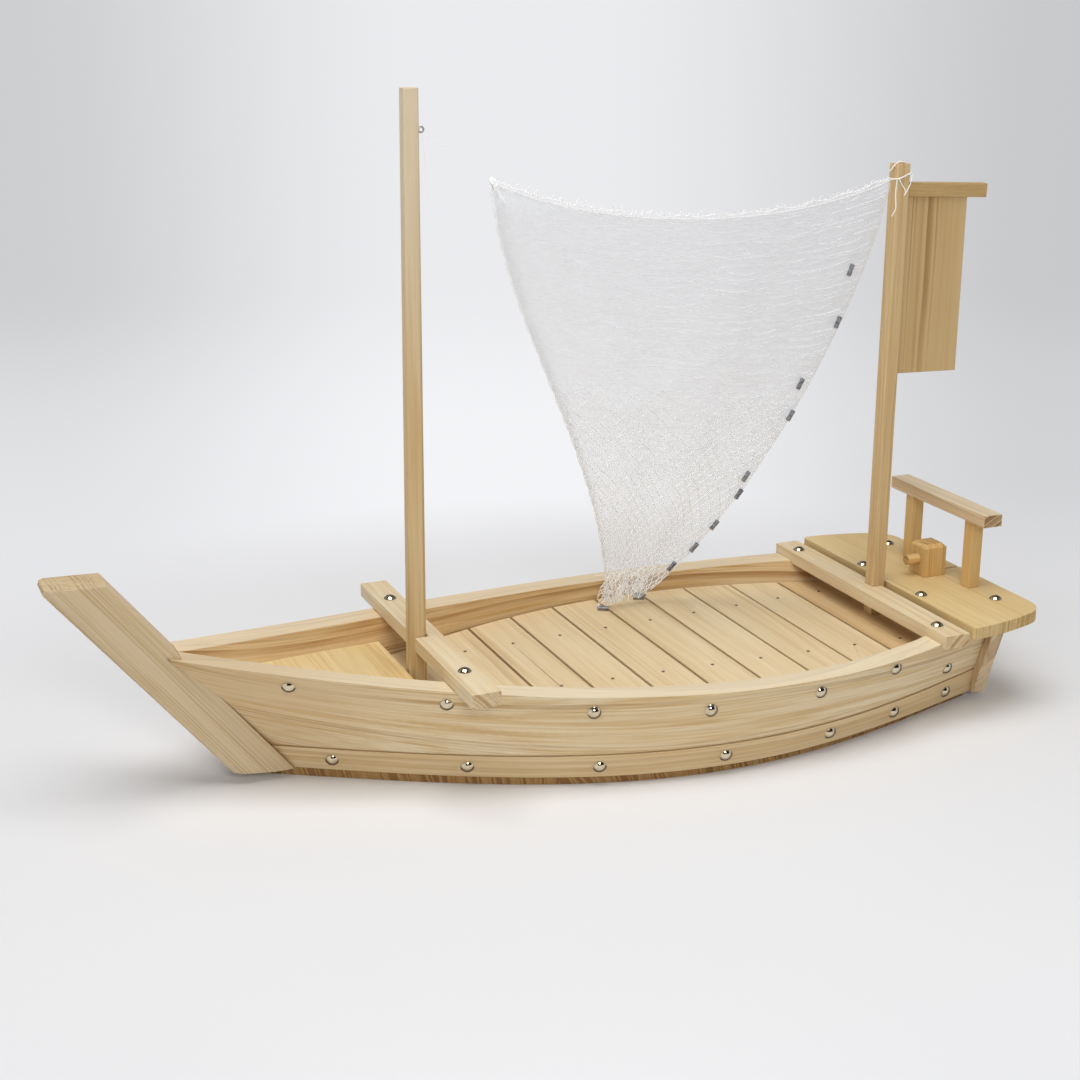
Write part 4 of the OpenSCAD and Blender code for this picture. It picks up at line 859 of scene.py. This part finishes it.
def mergedCopy(node, limit=0.15):  # the CAD mesh again, with flat faces joined below this angle in degrees
    piece = bpy.data.objects.new(pieceName(node), nodes[node].data.copy())
    bpy.context.scene.collection.objects.link(piece)
    piece.data.materials.clear()
    takeUp(piece)
    bpy.ops.object.mode_set(mode="EDIT")
    bpy.ops.mesh.select_all(action="SELECT")
    bpy.ops.mesh.remove_doubles(threshold=0.00001)
    if limit:
        bpy.ops.mesh.dissolve_limited(angle_limit=math.radians(limit))
    bpy.ops.mesh.normals_make_consistent(inside=False)
    bpy.ops.mesh.customdata_custom_splitnormals_clear()
    bpy.ops.object.mode_set(mode="OBJECT")
    return piece


def followBend(piece):  # gives a bent plank's points their place in the straight plank
    count = len(piece.data.vertices)
    flat = numpy.empty(count * 3)
    piece.data.vertices.foreach_get("co", flat)
    x, y, z = flat.reshape(count, 3).T
    y = y - numpy.polyval(numpy.polyfit(x, y, 4), x)
    z = z - numpy.polyval(numpy.polyfit(x, z, 3), x)
    layer = piece.data.attributes.new("grainPlace", "FLOAT_VECTOR", "POINT")
    layer.data.foreach_set("vector", numpy.stack([x, y, z], axis=1).ravel())


def easeBoard(node, spec):
    piece = mergedCopy(node)
    arris = piece.modifiers.new("arris", "BEVEL")
    arris.width = spec["ease"]
    arris.segments = 2
    arris.limit_method = "ANGLE"
    arris.angle_limit = math.radians(32)
    arris.use_clamp_overlap = False
    bpy.ops.object.modifier_apply(modifier="arris")
    bpy.ops.object.shade_smooth_by_angle(angle=math.radians(40))
    even = piece.modifiers.new("even", "WEIGHTED_NORMAL")
    even.keep_sharp = True
    bpy.ops.object.modifier_apply(modifier="even")
    deselectAll()
    if spec["bent"]:
        followBend(piece)
    piece.data.materials.append(pineBoard(node, spec))
    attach(piece, "root")
    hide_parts(node)


for node, spec in boards.items():
    easeBoard(node, spec)
print("boards dressed,", len(boards))

metals = {
    "nail": {"bright": (0.72, 0.62, 0.45), "dull": (0.50, 0.40, 0.26), "size": 260.0, "amount": 0.35,
             "metal": 1.0, "rough": 0.06, "uneven": 0.06, "pits": 0.00001,
             # painted shade: a dark colour laid on the nail head's edge as it turns from the view
             "rim": {"colour": (0.1, 0.075, 0.05), "low": 0.2, "high": 0.6}},
    "pin": {"bright": (0.3, 0.25, 0.2), "dull": (0.16, 0.13, 0.1), "size": 900.0, "amount": 0.6, "metal": 1.0,
            "rough": 0.4, "uneven": 0.2, "pits": 0.00003, "rim": None},
    "eye": {"bright": (0.5, 0.47, 0.42), "dull": (0.28, 0.26, 0.24), "size": 900.0, "amount": 0.6,
            "metal": 1.0, "rough": 0.3, "uneven": 0.2, "pits": 0.00003, "rim": None},
}
metalLooks = {key: metalFinish("metal_" + key, spec) for key, spec in metals.items()}
for node, look in finished.items():
    piece = mergedCopy(node, 0)
    smoothAll(piece, 32)
    piece.data.materials.append(metalLooks[look])
    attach(piece, "root")
    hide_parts(node)
print("nails and pins dressed")


# ---- table, sweep and light

# the painted fan of light's sides are shares of the way from the lamp's foot: low, high, then where its
# painted glow dims and by how much
stageSpec = {
    "colour": (0.852, 0.856, 0.875), "rough": 0.9, "shine": 0.05, "wide": 9.0, "near": -5.0, "far": 3.2,
    "high": 4.0, "curve": 1.0, "lampFoot": (-0.4673, -1.0809), "lampTurn": 22.89, "glow": (0.9, 0.904, 0.928),
    "left": {"side": (-0.06, -0.3), "away": (0.8, 3.0), "dim": (0.08, 0.24)},
    "right": {"side": (0.02, 0.3), "away": (1.0, 1.9), "dim": (0.06, 0.28)},
    "back": {"away": (1.9, 3.2), "dim": (0.0, 0.075)}, "boatReach": (0.38, 0.75),
}
cardSpec = {"place": (0.3, -3.2, 1.75), "size": (6.5, 3.0), "colour": (0.02, 0.02, 0.022), "rough": 0.9}


def makeSweep(spec):
    deselectAll()
    bpy.ops.mesh.primitive_plane_add(size=1, location=(0, 0, 0))
    sweep = bpy.context.object
    sweep.name = "studioSweep"
    for v in sweep.data.vertices:
        v.co = Vector((v.co.x * spec["wide"] * 2, spec["near"] if v.co.y < 0 else spec["far"], 0))
    bpy.ops.object.mode_set(mode="EDIT")
    bpy.ops.mesh.select_all(action="DESELECT")
    bpy.ops.mesh.select_mode(type="EDGE")
    bpy.ops.object.mode_set(mode="OBJECT")
    for e in sweep.data.edges:
        e.select = all(sweep.data.vertices[k].co.y > 0 for k in e.vertices)
    bpy.ops.object.mode_set(mode="EDIT")
    bpy.ops.mesh.extrude_region_move(TRANSFORM_OT_translate={"value": (0, 0, spec["high"])})
    bpy.ops.object.mode_set(mode="OBJECT")
    fold = sweep.modifiers.new("fold", "BEVEL")
    fold.width = spec["curve"]
    fold.segments = 16
    bpy.ops.object.modifier_apply(modifier="fold")
    smoothAll(sweep, 60)
    mat, tree, shader = newMaterial("paleSweep")
    shader.inputs["Base Color"].default_value = (*spec["colour"], 1)
    shader.inputs["Roughness"].default_value = spec["rough"]
    shader.inputs["Specular IOR Level"].default_value = spec["shine"]
    # seen or mirrored, the far paper shows a painted glow in the shape of the front lamp's fan of light,
    # dimmed towards its sides and back; round the boat it keeps its real shading
    where = tree.nodes.new("ShaderNodeTexCoord")
    fan = tree.nodes.new("ShaderNodeMapping")
    turn = Matrix.Rotation(math.radians(spec["lampTurn"]), 3, "Z")
    fan.inputs["Rotation"].default_value = (0, 0, math.radians(spec["lampTurn"]))
    fan.inputs["Location"].default_value = -(turn @ Vector((*spec["lampFoot"], 0)))
    tree.links.new(where.outputs["Object"], fan.inputs["Vector"])
    parts = tree.nodes.new("ShaderNodeSeparateXYZ")
    tree.links.new(fan.outputs[0], parts.inputs[0])
    side = sums(tree, "DIVIDE", parts.outputs[0], parts.outputs[1])
    away = parts.outputs[1]
    level = 1.0
    # painted shade: the painted glow dims towards the fan's left and right sides and towards the back
    for edge in (spec["left"], spec["right"]):
        dim = ease(tree, away, *edge["away"], *edge["dim"])
        level = sums(tree, "SUBTRACT", level, sums(tree, "MULTIPLY", ease(tree, side, *edge["side"]), dim))
    level = sums(tree, "SUBTRACT", level, ease(tree, away, *spec["back"]["away"], *spec["back"]["dim"]))
    glow = tree.nodes.new("ShaderNodeEmission")
    glow.inputs["Color"].default_value = (*spec["glow"], 1)
    tree.links.new(level, glow.inputs["Strength"])
    reach = tree.nodes.new("ShaderNodeVectorMath")
    reach.operation = "LENGTH"
    tree.links.new(stretch(tree, where.outputs["Object"], (1, 1.25, 1)), reach.inputs[0])
    path = tree.nodes.new("ShaderNodeLightPath")
    seen = sums(tree, "MAXIMUM", path.outputs["Is Camera Ray"], path.outputs["Is Glossy Ray"])
    seen = sums(tree, "MAXIMUM", seen, path.outputs["Is Transmission Ray"])
    share = sums(tree, "MULTIPLY", ease(tree, reach.outputs["Value"], *spec["boatReach"]), seen)
    both = tree.nodes.new("ShaderNodeMixShader")
    tree.links.new(share, both.inputs[0])
    tree.links.new(shader.outputs[0], both.inputs[1])
    tree.links.new(glow.outputs[0], both.inputs[2])
    tree.links.new(both.outputs[0], tree.nodes["Material Output"].inputs["Surface"])
    sweep.data.materials.append(mat)


def addCard(spec):  # a dark card behind the camera, for the nails to mirror
    deselectAll()
    bpy.ops.mesh.primitive_plane_add(size=1, location=(0, 0, 0))
    card = bpy.context.object
    card.name = "darkCard"
    card.data.transform(Matrix.Translation(spec["place"]) @ Matrix.Rotation(math.radians(90), 4, "X")
                        @ Matrix.Diagonal((*spec["size"], 1, 1)))
    mat, tree, shader = newMaterial("cardBlack")
    shader.inputs["Base Color"].default_value = (*spec["colour"], 1)
    shader.inputs["Roughness"].default_value = spec["rough"]
    card.data.materials.append(mat)
    card.visible_camera = False


def addSoftbox(name, spec):
    lamp = bpy.data.lights.new(name, "AREA")
    lamp.shape = "RECTANGLE"
    lamp.size, lamp.size_y = spec["size"]
    lamp.energy = spec["power"]
    lamp.color = spec["colour"]
    holder = bpy.data.objects.new(name, lamp)
    bpy.context.scene.collection.objects.link(holder)
    holder.location = spec["place"]
    holder.rotation_euler = (Vector(spec["aim"]) - Vector(spec["place"])).to_track_quat("-Z", "Y").to_euler()


def lightWorld(spec):
    world = bpy.data.worlds.new("studio")
    bpy.context.scene.world = world
    world.use_nodes = True
    tree = world.node_tree
    back = tree.nodes["Background"]
    where = tree.nodes.new("ShaderNodeTexCoord")
    split = tree.nodes.new("ShaderNodeSeparateXYZ")
    tree.links.new(where.outputs["Generated"], split.inputs[0])
    level = ease(tree, split.outputs["Z"], *spec["from"], spec["walls"], spec["ceiling"])
    back.inputs["Color"].default_value = (*spec["colour"], 1)
    tree.links.new(level, back.inputs["Strength"])


softboxes = {
    "topBox": {"place": (-0.2, -0.25, 2.0), "aim": (0, 0, 0.1), "size": (1.6, 1.3), "power": 29.0,
               "colour": (1.0, 0.99, 0.97)},
    "frontBox": {"place": (-0.55, -2.05, 1.25), "aim": (0, 0, 0.15), "size": (0.7, 0.5), "power": 14.0,
                 "colour": (1.0, 0.99, 0.97)},
}
makeSweep(stageSpec)
addCard(cardSpec)
for boxName, boxSpec in softboxes.items():
    addSoftbox(boxName, boxSpec)
lightWorld({"walls": 0.84, "ceiling": 0.1, "from": (0.3, 0.75), "colour": (0.98, 0.985, 1.0)})
bpy.context.scene.view_settings.view_transform = "Standard"
print("stage lit")
